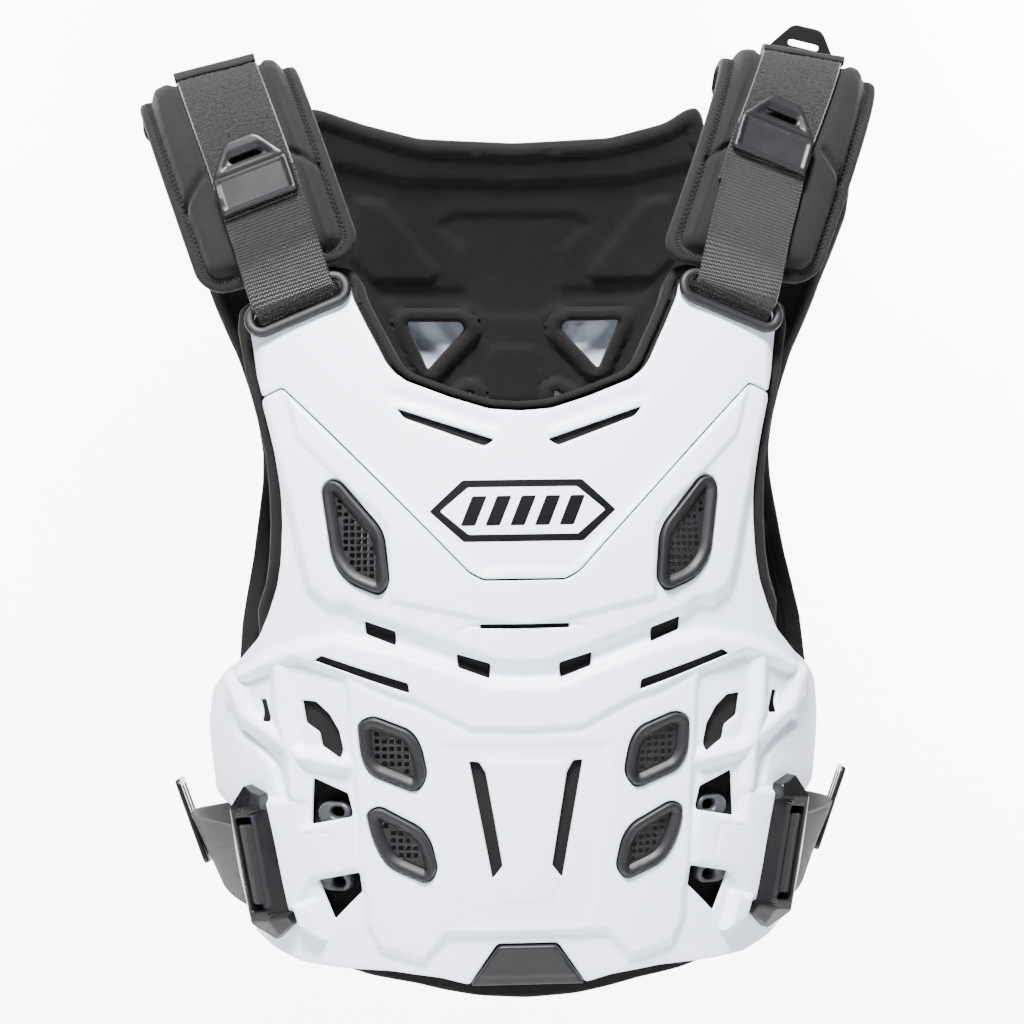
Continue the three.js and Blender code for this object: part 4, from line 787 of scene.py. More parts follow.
def make_vent(name, side, side_name):
    """A frame with a rounded top that slopes into its well, and a net of square holes at the well's foot."""
    _, x, z = VENT_PLACES[name]
    lift = float(chest_relief(np.array([x]), np.array([z]))[0])
    plane = plane_at(FRONT, side * x, z, lift)
    outline = vent_loop(name, side, 0.6)
    well = vent_loop(name, side, 7.2)

    def rim_top(flat, away):
        from_outside = edge_distance(outline, flat)
        slope = np.clip((from_outside - 3.0) / 4.0, 0, 1)
        return 1.9 - rounding(from_outside, 1.4) - 3.2 * slope**1.5

    frame_piece = plate("rim", plane, outline, [well], rim_top, lambda f, a: -4.6 + 0 * a, 1.6, (0.5, 1.1))
    pitch, gap = (4.0, 2.5) if name == "upper" else (4.4, 2.8)
    net_edge = vent_loop(name, side, 6.4)
    low, high = net_edge.min(axis=0), net_edge.max(axis=0)
    centres = np.stack(np.meshgrid(
        np.arange(low[0], high[0], pitch), np.arange(low[1], high[1], pitch)), -1).reshape(-1, 2)
    centres = centres[inside_of(well, centres) & (edge_distance(well, centres) > gap * 0.4)]
    square = softened(np.array([(-1, -1), (1, -1), (1, 1), (-1, 1)]) * gap / 2, 0.7, 2)
    holes = [square + centre for centre in centres]
    net = plate("net", plane, net_edge, holes, lambda f, a: -2.2 - rounding(a, 0.5),
                lambda f, a: -3.8 + 0 * a,
                2.4, (0.35,), edge_step=3.0)
    whole = joined(f"moulded_vent_{name}_{side_name}", [frame_piece, net])
    dress(whole, CHARCOAL_RUBBER, f"vent_{name}_{side_name}")
    return len(holes)


for side_name, side in SIDES.items():
    print(side_name, "vent holes", [make_vent(name, side, side_name) for name in VENT_PLACES])

# %% [markdown]
# Now the two white mouldings. The yoke ends and the shell begins at a thin joint. Both edges round off by a
# millimetre, which is what makes the joint read as a fine dark line instead of a painted one.

# %% The chest shell and the yoke
WALL = 2.6
JOINT = 0.55


def shell_outer(x, z, away):
    """The forms, less the rounding of the edge."""
    return chest_relief(x, z) - rounding(away, 1.3)


def shell_inner(x, z, away):
    """The inside follows the forms at one wall's thickness."""
    return chest_relief(x, z) - WALL + rounding(away, 0.6)


def badge_loop(grow=0.0):
    """The badge's outline on the hem."""
    loop = mirrored(BADGE_HALF)
    loop = loop if area_of(loop) > 0 else loop[::-1]
    return inset_points(loop, -grow)


def chest_outlines():
    """Outlines of the shell and of the yoke: the side, the joint and the hem or the neck."""
    seam = np.array(SEAM, float)
    side = np.array([p for p in CHEST_SIDE if p[1] < -194])
    notch = np.array(BADGE_HALF[1:4], float)[::-1] + (0.7, 0.0)
    notch[:, 1] += (0.0, 0.7, 0.7)
    low = np.array([p for p in CHEST_HEM if p[0] > 34])
    shell_half = np.concatenate([seam + (0, -JOINT), [(149.2, -197)], side[1:], low, notch, [(0, -512.9)]])
    top = np.array([p for p in CHEST_SIDE if p[1] > -190])[::-1]
    yoke_half = np.concatenate([seam + (0, JOINT), top, np.array(NECK_EDGE, float)[::-1]])
    return softened(mirrored(shell_half), 2.4, 3), softened(mirrored(yoke_half), 2.4, 3)


SHELL_OUTLINE, YOKE_OUTLINE = chest_outlines()
SHELL_HOLES = slots_of([
    STEP_SLOT_UPPER, STEP_SLOT_LOWER, BELT_SLOT, MIDDLE_SLOT, SIDE_SLOT, SIDE_WINDOW, LATCH_WINDOW_UPPER,
    LATCH_WINDOW_LOWER]) + [softened(THIN_SLOT, 1.2, 3)] + [
    vent_on_chest(name, side, 0.0) for name in VENT_PLACES for side in (-1, 1)]
YOKE_HOLES = slots_of([NECK_SLOT], 2.0) + [guide_loop(side, 60.0, 14.0, 5.0) for side in (-1, 1)]
chest_shell = panel_solid("moulded_chest_shell", FRONT, SHELL_OUTLINE, SHELL_HOLES, shell_outer,
                          shell_inner, 1.75)
dress(chest_shell, WHITE_SHELL, "chest_shell")
chest_yoke = panel_solid("moulded_yoke", FRONT, YOKE_OUTLINE, YOKE_HOLES, shell_outer, shell_inner, 2.6)
dress(chest_yoke, WHITE_SHELL, "chest_yoke")

# %% [markdown]
# The printed pattern on the yoke is a plain one: a long six-sided frame round a row of slanted strokes. It is
# a film a tenth of a millimetre thick, cut from the yoke's own face, so it follows every curve of it.

# %% Printed pattern
def six_sided(half, tall, point):
    """A long six-sided outline whose ends come to a point `point` further out than its level edges."""
    return np.array([(half, 0), (half - point, tall), (-half + point, tall), (-half, 0),
                     (-half + point, -tall),
                     (half - point, -tall)], float)


def printed_film():
    """The frame and its strokes as one thin film on the yoke, centred at height -262."""
    centre = (0.0, -262.0)
    outlines = [(six_sided(53, 17.5, 19) + centre, [six_sided(47, 13.5, 16) + centre])]
    for k in range(5):
        x = (k - 2) * 14.0
        outlines.append((np.array([(x - 7.6, -8.4), (x + 0.6, -8.4), (x + 7.6, 8.4),
                                   (x - 0.6, 8.4)]) + centre, []))
    films = [panel_solid(
        "film", FRONT, softened(outline, 0.8, 2), [softened(hole, 0.8, 2) for hole in holes],
        lambda x, z, a: chest_relief(x, z) + 0.14, lambda x, z, a: chest_relief(x, z) - 0.3, 3.0, ())
        for outline, holes in outlines]
    return joined("printed_pattern", films)


dress(printed_film(), PRINT_BLACK)

# %% [markdown]
# The chest liner shows as a rolled lip past the neck and the arm edges, and as dark knit foam behind the
# slots. Its face keeps just under the shell. Along the lip it swells into a roll with a pressed line beside
# it, where the foam was welded.

# %% The chest liner
LIP = 8.2


def lip_line():
    """The shell's side and neck edge moved out by LIP, from the ribs up the arm edge and round the neck."""
    side = [p for p in CHEST_SIDE if p[1] > -336][::-1]
    half = np.array([*side, *NECK_EDGE[::-1]], float)
    moved = inset_points(mirrored(half), -LIP)[:len(half)]
    moved[-1, 0] = 0.0
    return moved[np.concatenate([[True], np.linalg.norm(np.diff(moved, axis=0), axis=1) > 2.0])]


LIP_HALF = lip_line()
LINER_HALF = np.concatenate([
    [(0, -546.8), (28.2, -545.3), (48, -542), (65.8, -538), (92, -534), (110, -529), (126, -514), (128, -490),
     (130, -450), (131, -405), (134, -368), (150, -355), (158, -342)], LIP_HALF])


LATCH_POCKET = [(140, -408), (88, -408), (87, -500), (110, -516), (140, -508)]  # room for the hooks


def lip_profile(away):
    """Roll, pressed line and flat of the lip, by the distance from the liner's edge."""
    roll = 3.4 * np.sqrt(np.clip(1 - ((away - 3.0) / 3.0) ** 2, 0, 1))
    return np.where(away < 6.0, roll, 0.0) - 0.9 * np.exp(-((away - 6.2) / 0.8) ** 2)


def liner_outer(x, z, away):
    """Just under the shell inside the lip, rolled along it."""
    lip = edge_distance(LIP_HALF, np.stack([np.abs(x), z], -1), closed=False)
    pocket = 8.2 * mask(LATCH_POCKET, np.stack([np.abs(x), z], -1), 3.0)
    base = chest_relief(x, z) * np.clip((lip - LIP) / 4.0, 0, 1) - 3.5 - pocket
    return base + lip_profile(lip) - rounding(away, 2.4)


def liner_inner(x, z, away):
    """The body side, eight millimetres and a half deeper."""
    return -13.0 + rounding(away, 3.0)


LINER_HOLES = [guide_loop(side, 66.0, 21.0, 9.0) for side in (-1, 1)] + [
    vent_on_chest(name, side, 2.6) for name in VENT_PLACES for side in (-1, 1)]
chest_liner = panel_solid(
    "foam_chest_liner", FRONT, softened(mirrored(LINER_HALF), 4.0, 4), LINER_HOLES, liner_outer,
    liner_inner, 2.4,
    (0.6, 1.5, 2.8, 4.2, 5.4, 6.3, 7.3, 8.6))
dress(chest_liner, LINER_FOAM, "chest_liner")

# %% [markdown]
# The back liner is what the neck opening shows: a rolled top edge, a step to a hollow field, two raised
# triangles, a cross of channels and small windows through which the back shell shines. Its pattern is on the
# body side, so the relief goes on that face.

# %% The back liner and its pressed pattern
BACK_LOW = [(0, -522), (84.6, -519.4), (124.1, -514.2), (152, -504), (163.6, -497), (174.8, -470),
            (182, -430),
            (185.2, -397.2), (185.5, -362), (183.3, -329.6), (175.8, -288), (169.2, -241.2), (168.6, -222),
            (172, -199.6), (182.4, -163.2), (203, -111.2), (217, -72), (219, -52), (214, -44)]
BACK_TOP = [(97.8, -9.3), (62, -17.6), (0, -20.2)]
PAD_NOTCH = {"left": 137.0, "right": 123.5}  # where the pads' inner edges rest against the back


def back_half(side_name):
    """One half of the back's outline, with the notch in which the pad's end lies."""
    inner = PAD_NOTCH[side_name]
    notch = [(inner + 8, -27), (inner + 1, -20), (inner - 1, -6), (inner - 5, 0), (inner - 12, -1)]
    return np.array([*BACK_LOW, *notch, *BACK_TOP], float)


def back_outline(inset=0.0):
    """Both halves joined, and brought in by `inset`."""
    left = back_half("left")[1:-1][::-1] * (-1, 1)
    whole = np.concatenate([back_half("right"), left])
    return inset_points(whole, inset) if inset else whole


BACK_WINDOWS = [
    [(71.7, -133.6), (35.5, -133.6), (32, -139), (57.6, -166)],
    [(28.2, -200.2), (28.2, -179.4), (50.8, -195), (67.7, -228.8)],
    [(30.1, -293.2), (75.2, -277.6), (67.7, -314), (33.8, -329.6)],
]
BACK_FIELD = [(0, -45), (76, -42), (90, -38), (118, -33), (150, -52), (176, -110), (160, -170), (158, -250),
              (168, -330),
              (168, -400), (150, -470), (100, -495), (0, -500)]
BACK_TRIANGLE = [(104, -54), (86, -56), (50, -101), (54, -106), (94, -106), (108, -92)]
BACK_CHANNEL = [(0, -64), (40, -64), (50, -71), (32, -86), (32, -112), (92, -112), (88, -120), (30, -122),
                (16, -130),
                (0, -130)]
BACK_SURROUND = [(82, -126), (33, -126), (23, -139), (57, -178)]
BACK_KNOT = [(0, -150), (14, -150), (17, -156), (17, -186), (0, -190)]
BACK_SIDE_PAD = [(150, -215), (92, -195), (76, -228), (88, -262), (148, -270)]
BACK_WAIST_PAD = [(158, -300), (92, -285), (84, -330), (96, -440), (140, -455), (160, -400)]
BACK_SPINE_PAD = [(0, -345), (52, -345), (62, -380), (52, -470), (0, -480)]


def back_pattern(x, z):
    """Depth of the pressed pattern: the field sinks, pads and surrounds stand up in it."""
    points = np.stack([np.abs(x), z], -1)
    height = -2.6 * mask(BACK_FIELD, points, 6.0)
    for outline, level, edge in (
            (BACK_TRIANGLE, 2.6, 4.0), (BACK_CHANNEL, -1.6, 5.0), (BACK_SURROUND, 1.8, 4.0),
            (BACK_KNOT, 2.0, 4.0),
            (BACK_SIDE_PAD, 3.0, 6.0), (BACK_WAIST_PAD, 3.4, 6.0), (BACK_SPINE_PAD, 3.2, 6.0)):
        height += level * mask(outline, points, edge)
    return height


def back_face(x, z, away):
    """The body side of the back liner: its lip, its pattern and its rounded edge."""
    lip = 2.2 * np.sqrt(np.clip(1 - ((away - 4.0) / 4.0) ** 2, 0, 1)) * (away < 8)
    line = -0.9 * np.exp(-((away - 8.6) / 0.9) ** 2)
    return -(12.2 + lip + line + back_pattern(x, z) * (away > 9) - rounding(away, 3.0))


back_liner = panel_solid(
    "foam_back_liner", BACK, softened(back_outline(), 5.0, 4), slots_of(BACK_WINDOWS, 2.5),
    lambda x, z, a: -4.2 - rounding(a, 1.6), back_face, 2.8, (0.8, 2.0))
dress(back_liner, LINER_FOAM, "back_liner")

# %% [markdown]
# No photograph shows the outside of the back shell. It is made in the manner of the front: a raised spine
# plate, shoulder plates above it and slots that follow their edges.

# %% The back shell
BACK_SHELL_SLOTS = [
    [(56.4, -106), (62, -98.2), (135.4, -124.2), (131.6, -132)],
    [(24.4, -345.2), (32, -340), (47, -428.4), (39.5, -438.8)],
    [(65.8, -366), (67.7, -355.6), (131.6, -324.4), (129.7, -334.8)],
]
BACK_PLATES = [
    ([(0, -40), (60, -44), (150, -62), (158, -110), (128, -140), (60, -122), (34, -150), (0, -158)], 3.4,
     8.0),
    ([(0, -170), (40, -162), (70, -136), (120, -152), (140, -210), (132, -262), (96, -292), (34, -318),
      (0, -322)],
     3.8, 8.0),
    ([(0, -334), (20, -332), (54, -436), (40, -470), (0, -474)], 3.4, 7.0),
    ([(62, -374), (134, -338), (160, -350), (162, -420), (140, -470), (82, -480), (66, -430)], 2.8, 7.0),
]


def back_relief(x, z):
    """Height of the back shell's plates."""
    points = np.stack([np.abs(x), z], -1)
    height = np.zeros(len(points))
    for outline, level, edge in BACK_PLATES:
        height = np.maximum(height, level * mask(outline, points, edge))
    return height


REAR_GUIDE = (154.2, -100.8)
REAR_TURN = 0.3


back_shell = panel_solid(
    "moulded_back_shell", BACK, softened(back_outline(7.5), 5.0, 4), slots_of(BACK_SHELL_SLOTS, 2.0),
    lambda x, z, a: back_relief(x, z) - rounding(a, 1.2),
    lambda x, z, a: back_relief(x, z) - WALL + rounding(a, 0.6), 2.9, (0.5, 1.3))
dress(back_shell, WHITE_SHELL, "back_shell")

# %% [markdown]
# The shoulders follow one arch on each side, narrower front to back than it is tall, leaning out as it
# rises. The pad lies on the arch, the hook strip on the pad, the webbing on the strip and the tab on the
# webbing. The right strap is worn a little higher than the left.

# %% The arch over a shoulder
ARCH_HALF_DEPTH = 78.0
ARCH_HEIGHT = 150.0
ARCH = {
    "left": {"rise": 0.0, "out": 177.0, "lean": 0.332, "slope": 0.25, "front_tab": -83.0, "rear_tab": -62.0,
             "shift": (-1.0, -4.7), "foot_shift": -4.9},
    "right": {"rise": 8.0, "out": 184.0, "lean": 0.39, "slope": 0.17, "front_tab": -61.0, "rear_tab": 6.0,
              "shift": (2.5, -8.5), "foot_shift": -4.0},
}
PAD_FOOT = -121.0
PAD_REAR_TURN = 0.5
STRIP_LOW = 12.1
WEB_LOW = 14.85
TAB_LOW = 17.4


def unit(v):
    """The vectors scaled to length one."""
    return v / np.maximum(np.linalg.norm(v, axis=-1, keepdims=True), 1e-9)


def arch_point(name, turn, across, out):
    """A point over the shoulder: turn goes round the arch, across towards the arm, out off the pad's
    underside."""
    arch, side = ARCH[name], SIDES[name]
    turn, across, out = np.broadcast_arrays(np.asarray(turn, float), across, out)
    tall = ARCH_HEIGHT + arch["rise"]
    z = -ARCH_HEIGHT + tall * np.cos(turn)
    lean = np.where(turn < 0, arch["lean"], -0.05)
    x = arch["out"] - lean * (arch["rise"] - z)
    y = ARCH_HALF_DEPTH * np.sin(turn)
    along = unit(np.stack([-lean * tall * np.sin(turn) * side, ARCH_HALF_DEPTH * np.cos(turn),
                           -tall * np.sin(turn)], -1))
    wide = unit(np.stack([side + 0 * turn, -0.2 * np.sin(turn), -arch["slope"] + 0 * turn], -1))
    normal = unit(np.cross(along, wide) * -side)
    facing = normal[..., 2] * np.cos(turn) + normal[..., 1] * np.sin(turn)
    normal = normal * np.where(facing < 0, -1, 1)[..., None]
    return np.stack([side * x, y, z], -1) + across[..., None] * wide + out[..., None] * normal


def strap_shift(name, turn):
    """How far the strip and the webbing lie off the pad's middle: evenly from the ridge to the tab."""
    ridge, tab = ARCH[name]["shift"]
    return ridge + (tab - ridge) * np.clip(-np.asarray(turn) / 0.9, 0, 1)


def turn_at(name, z):
    """The turn at which the arch passes height z on the chest side."""
    return -math.acos(min(max((z + ARCH_HEIGHT) / (ARCH_HEIGHT + ARCH[name]["rise"]), -1), 1))


def even_turns(name, first, last, count):
    """Turns between two ends that are evenly spaced by length along the arch."""
    fine = np.linspace(first, last, 600)
    steps = np.linalg.norm(np.diff(arch_point(name, fine, 0, 0), axis=0), axis=1)
    length = np.concatenate([[0], np.cumsum(steps)])
    return np.interp(np.linspace(0, length[-1], count), length, fine), length[-1]


def ring_solid(name, rings, weave=None, sharp=50.0, flip=False):
    """A closed body from rings of points, with a flat cap at each end. weave gives every point its UV."""
    n, m, _ = rings.shape
    i, j = np.meshgrid(np.arange(n - 1), np.arange(m), indexing="ij")
    k = (j + 1) % m
    quads = np.stack([i * m + j, i * m + k, (i + 1) * m + k, (i + 1) * m + j], -1).reshape(-1, 4)
    caps = [np.arange(m)[None, ::-1], (np.arange(m) + (n - 1) * m)[None]]
    faces = [quads, *caps]
    if flip:
        faces = [f[:, ::-1] for f in faces]
    piece = mesh_from(name, rings.reshape(-1, 3), faces, sharp)
    if weave is not None:
        layer = piece.data.uv_layers.new(name="weave")
        corners = np.empty(len(piece.data.loops), np.int32)
        piece.data.loops.foreach_get("vertex_index", corners)
        layer.data.foreach_set("uv", weave.reshape(-1, 2)[corners].astype(np.float32).ravel())
    return piece


def outward(piece):
    """Turns all faces round if the body's volume by the divergence rule comes out negative."""
    mesh = piece.data
    mesh.calc_loop_triangles()
    ids = np.empty(len(mesh.loop_triangles) * 3, np.int32)
    mesh.loop_triangles.foreach_get("vertices", ids)
    co = np.empty(len(mesh.vertices) * 3, np.float32)
    mesh.vertices.foreach_get("co", co)
    a, b, c = co.reshape(-1, 3)[ids.reshape(-1, 3)].transpose(1, 0, 2)
    if np.sum(np.cross(a, b) * c) < 0:
        mesh.flip_normals()
    return piece


print("arch ready")

# %% [markdown]
# A pad is cloth over foam, sewn along a line that runs inside its edge. Outside the seam lies the binding
# roll, inside it the foam domes up, and the hook strip presses its middle flat. A short seam crosses each
# side panel. Sums of slanted sines give the cloth shallow wrinkles that gather towards the seams.

# %% The shoulder pads
PAD_HALF = 50.0
PAD_CORNER = 17.0
CROSS_SEAMS = {"left": ((-1, 66.0), (1, 60.0)), "right": ((-1, 74.0), (1, 74.0))}


def pad_edge_distance(across, along, length):
    """Distance inside a rectangle with round corners."""
    qx = np.abs(across) - (PAD_HALF - PAD_CORNER)
    qy = np.abs(along - length / 2) - (length / 2 - PAD_CORNER)
    past = np.hypot(np.maximum(qx, 0), np.maximum(qy, 0))
    return PAD_CORNER - (past + np.minimum(np.maximum(qx, qy), 0))


def pad_height(across, along, length, seams, shift):
    """Height of the pad's face over its underside. `shift` is where the strip's middle crosses each point."""
    d = np.maximum(pad_edge_distance(across, along, length), 0)
    binding = 2.0 + 3.4 * np.sqrt(np.clip(1 - ((d - 3.6) / 3.6) ** 2, 0, 1))
    dome = 2.6 + 8.8 * (1 - np.exp(-np.maximum(d - 7.2, 0) / 3.4))
    height = np.where(d < 7.2, binding, dome)
    beside = np.abs(across - shift) - 26.5
    height = np.where(beside < 0, np.minimum(height, 11.4), height)
    puff = np.clip(beside / 5, 0, 1) * np.clip((d - 7.2) / 6, 0, 1)
    height += 2.4 * puff * puff * (3 - 2 * puff)
    for sign, where in seams:
        slant = along - where + 0.9 * (np.abs(across) - 35)
        reach = np.clip((across * sign - 22) / 3, 0, 1) * (d > 6)
        height -= 3.8 * np.exp(-(slant / 3.0) ** 2) * reach
    wrinkle = (np.sin(0.33 * along + 0.21 * across) * np.sin(0.11 * along - 0.4 * across)
               + 0.6 * np.sin(0.71 * along - 0.17 * across + 1.3)
                + 0.5 * np.sin(0.19 * along + 0.9 * across + 0.4))
    gather = 0.25 + 0.9 * np.exp(-np.maximum(d - 6.8, 0) / 5) * (d > 6.8)
    return height + 0.14 * wrinkle * gather * np.clip(d / 3, 0, 1)


def thread_tube(name, points, radius, normals):
    """A six-sided tube along points."""
    along = unit(np.gradient(points, axis=0))
    wide = unit(np.cross(normals, along))
    normals = unit(np.cross(along, wide))
    turn = np.linspace(0, 2 * math.pi, 6, endpoint=False)
    rings = points[:, None] + radius * (
        np.cos(turn)[None, :, None] * wide[:, None] + np.sin(turn)[None, :, None] * normals[:, None])
    return outward(ring_solid(name, rings))


def make_stitches(name, turns, length):
    """A zigzag of thread along the binding: it steps between two lines inside the pad's edge."""
    low, high = 4.6, 8.2
    straight = length - 2 * PAD_CORNER
    bend = np.linspace(0, math.pi / 2, 9)
    ends = []
    for sign in (1, -1):
        side_y = np.arange(0, straight * 0.97, 1.7)
        ends.append(np.stack([np.full(len(side_y), sign * PAD_HALF), PAD_CORNER + side_y], -1))
    foot_x = np.linspace(-1, 1, 46)
    runs = [ends[0], ends[1]]
    foot = np.stack([foot_x * (PAD_HALF - PAD_CORNER), np.zeros(len(foot_x))], -1)
    corners = [np.stack([sign * (PAD_HALF - PAD_CORNER + PAD_CORNER * np.cos(bend)),
                         PAD_CORNER - PAD_CORNER * np.sin(bend)], -1) for sign in (1, -1)]
    loop = np.concatenate([runs[0][::-1], corners[0], foot[::-1], corners[1][::-1], runs[1]])
    step = np.concatenate([[0], np.cumsum(np.linalg.norm(np.diff(loop, axis=0), axis=1))])
    even = np.arange(0, step[-1], 1.5)
    loop = np.stack([np.interp(even, step, loop[:, 0]), np.interp(even, step, loop[:, 1])], -1)
    core = np.stack([np.clip(loop[:, 0], -(PAD_HALF - PAD_CORNER), PAD_HALF - PAD_CORNER),
                     np.clip(loop[:, 1], PAD_CORNER, length - PAD_CORNER)], -1)
    inward = unit(core - loop)
    depth = np.where(np.arange(len(loop)) % 2 == 0, low, high)[:, None]
    flat = loop + inward * depth
    turn = np.interp(flat[:, 1], np.linspace(0, length, len(turns)), turns)
    shift = strap_shift(name, turn)
    height = pad_height(flat[:, 0], flat[:, 1], length, CROSS_SEAMS[name], shift)
    points = arch_point(name, turn, flat[:, 0], height + 0.12)
    normals = unit(arch_point(name, turn, flat[:, 0], height + 1) - arch_point(name, turn, flat[:, 0],
                                                                               height))
    fine = np.linspace(0, len(points) - 1, len(points) * 2 - 1)
    spread = lambda v: np.stack([np.interp(fine, np.arange(len(v)), v[:, k]) for k in range(3)], -1)
    dress(thread_tube(f"stitches_{name}", spread(points), 0.32, spread(normals)), THREAD)


def make_pad(name):
    """The pad's body as rings across it, each ring its face and its underside."""
    rows, columns = 260, 120
    turns, length = even_turns(name, turn_at(name, PAD_FOOT), PAD_REAR_TURN, rows)
    along = np.linspace(0, length, rows)
    from_end = np.minimum(along, length - along)
    corner = np.maximum(PAD_CORNER - from_end, 0)
    half = PAD_HALF - PAD_CORNER + np.sqrt(np.maximum(PAD_CORNER**2 - corner**2, 0.01))
    u = np.linspace(-1, 1, columns)
    across = half[:, None] * u[None]
    lengths = np.repeat(along[:, None], columns, 1)
    shift = strap_shift(name, turns)[:, None]
    top = arch_point(name, turns[:, None], across,
                     pad_height(across, lengths, length, CROSS_SEAMS[name], shift))
    under_u = np.linspace(1, -1, 24)
    under = arch_point(name, turns[:, None], half[:, None] * under_u[None], 0.0)
    pad = outward(ring_solid(f"padded_shoulder_{name}", np.concatenate([top, under], axis=1), sharp=60.0))
    dress(pad, PAD_CLOTH, f"shoulder_pad_{name}")
    make_stitches(name, turns, length)
    return length


for side_name in SIDES:
    print("pad", side_name, "length", round(make_pad(side_name), 1))

# %% [markdown]
# Flat straps are swept: a cross-section with rounded edges follows a path, and its width keeps one direction
# at each point. Every point gets a UV in millimetres, so the woven ribs keep their pitch round every bend.

# %% Straps swept along a path
def strap_section(width, thick, count=26):
    """Points round a flat strap: across and out, with half-round edges."""
    edge = np.linspace(-math.pi / 2, math.pi / 2, 7)
    right = np.stack([width / 2 - thick / 2 + thick / 2 * np.cos(edge),
                      thick / 2 + thick / 2 * np.sin(edge)], -1)
    u = np.linspace(width / 2 - thick / 2, -width / 2 + thick / 2, count)[1:-1]
    top = np.stack([u, np.full(len(u), thick)], -1)
    left = right[::-1] * (-1, 1)
    low = top[::-1] * (1, 0)
    return np.concatenate([right, top, left, low])


def smooth_path(points, step):
    """Catmull-Rom curve through the points, resampled every `step` millimetres."""
    p = np.asarray(points, float)
    p = np.concatenate([2 * p[:1] - p[1:2], p, 2 * p[-1:] - p[-2:-1]])
    t = np.linspace(0, 1, 24, endpoint=False)[:, None, None]
    a, b, c, d = p[:-3], p[1:-2], p[2:-1], p[3:]
    curve = 0.5 * (2 * b + (c - a) * t + (2 * a - 5 * b + 4 * c - d) * t**2 + (3 * b - a - 3 * c + d) * t**3)
    curve = np.concatenate([curve.transpose(1, 0, 2).reshape(-1, p.shape[1]), p[-2:-1]])
    length = np.concatenate([[0], np.cumsum(np.linalg.norm(np.diff(curve[:, :3], axis=0), axis=1))])
    even = np.linspace(0, length[-1], max(int(length[-1] / step), 2) + 1)
    return np.stack([np.interp(even, length, curve[:, k]) for k in range(curve.shape[1])], -1), even


def swept_strap(name, points, wides, width, thick, step=1.0, out_hint=None):
    """A flat strap along points whose width lies along `wides`, its upper side away from `out_hint`'s
    opposite."""
    path, even = smooth_path(np.concatenate([points, wides], axis=1), step)
    centre, wide = path[:, :3], path[:, 3:]
    along = unit(np.gradient(centre, axis=0))
    wide = unit(wide - np.sum(wide * along, axis=1, keepdims=True) * along)
    normal = unit(np.cross(wide, along))
    hint = out_hint if out_hint is not None else np.array([0, -1.0, 0])
    if np.sum(normal @ hint) < 0:
        normal = -normal
    shape = strap_section(width, thick)
    rings = centre[:, None] + shape[None, :, :1] * wide[:, None] + shape[None, :, 1:] * normal[:, None]
    weave = np.stack(np.broadcast_arrays(shape[None, :, 0] + 200.0, even[:, None]), -1)
    return outward(ring_solid(name, rings, weave))


def chest_guide_plane(side):
    """The front strap guide's plane, on the yoke's corner."""
    lift = float(chest_relief(np.array([GUIDE_CENTRE[0]]), np.array([GUIDE_CENTRE[1]]))[0])
    return plane_at(FRONT, side * GUIDE_CENTRE[0], GUIDE_CENTRE[1], lift, -side * GUIDE_TURN), lift


def make_front_strap(name):
    """Webbing from behind the guide, round its bar and up over the hook strip to the tab."""
    side = SIDES[name]
    (origin, axes), _ = chest_guide_plane(side)
    at = lambda up, out: origin + axes[1] * up + axes[2] * out
    points = [at(3, -6.6), at(0.0, -1.5), at(1.2, 2.4), at(6.5, 7.6)]
    wides = [axes[0]] * 4
    foot = turn_at(name, ARCH[name]["front_tab"])
    start = turn_at(name, PAD_FOOT + 9)
    for k in range(6):
        turn = start + (foot + 0.12 - start) * k / 5
        low = max(1 - k / 4, 0)
        shift = float(strap_shift(name, turn)) * (1 - low) + ARCH[name]["foot_shift"] * low
        points.append(arch_point(name, turn, shift, WEB_LOW + max(2 - 2 * k, 0)))
        flat = unit(arch_point(name, turn, shift + 1, WEB_LOW) - arch_point(name, turn, shift - 1,
                                                                            WEB_LOW)) * side
        share = min(k / 3, 1)
        wides.append(unit(axes[0] * (1 - share) + flat * share))
    strap = swept_strap(f"woven_front_strap_{name}", np.array(points), np.array(wides), 50.0, 2.2)
    dress(strap, WEBBING, f"front_strap_{name}")


def make_fold(name):
    """The strip's end folded back on itself at the ridge: a thick satin band over the whole width."""
    middle = -0.10 if name == "left" else -0.02
    lean = np.linspace(0, 2 * math.pi, 28, endpoint=False)
    turn_off, out = 0.085 * np.cos(lean), 1.4 + 3.4 * np.sin(lean)
    u = np.linspace(-25.6, 25.6, 40)
    rings = arch_point(
        name, middle + turn_off[None] + 0.012 * np.sin(u * 0.16)[:, None],
        u[:, None] + float(strap_shift(name, middle)), STRIP_LOW + 2.2 + out[None])
    band = outward(ring_solid(f"folded_end_{name}", rings, sharp=60.0))
    dress(band, SATIN_TAPE)


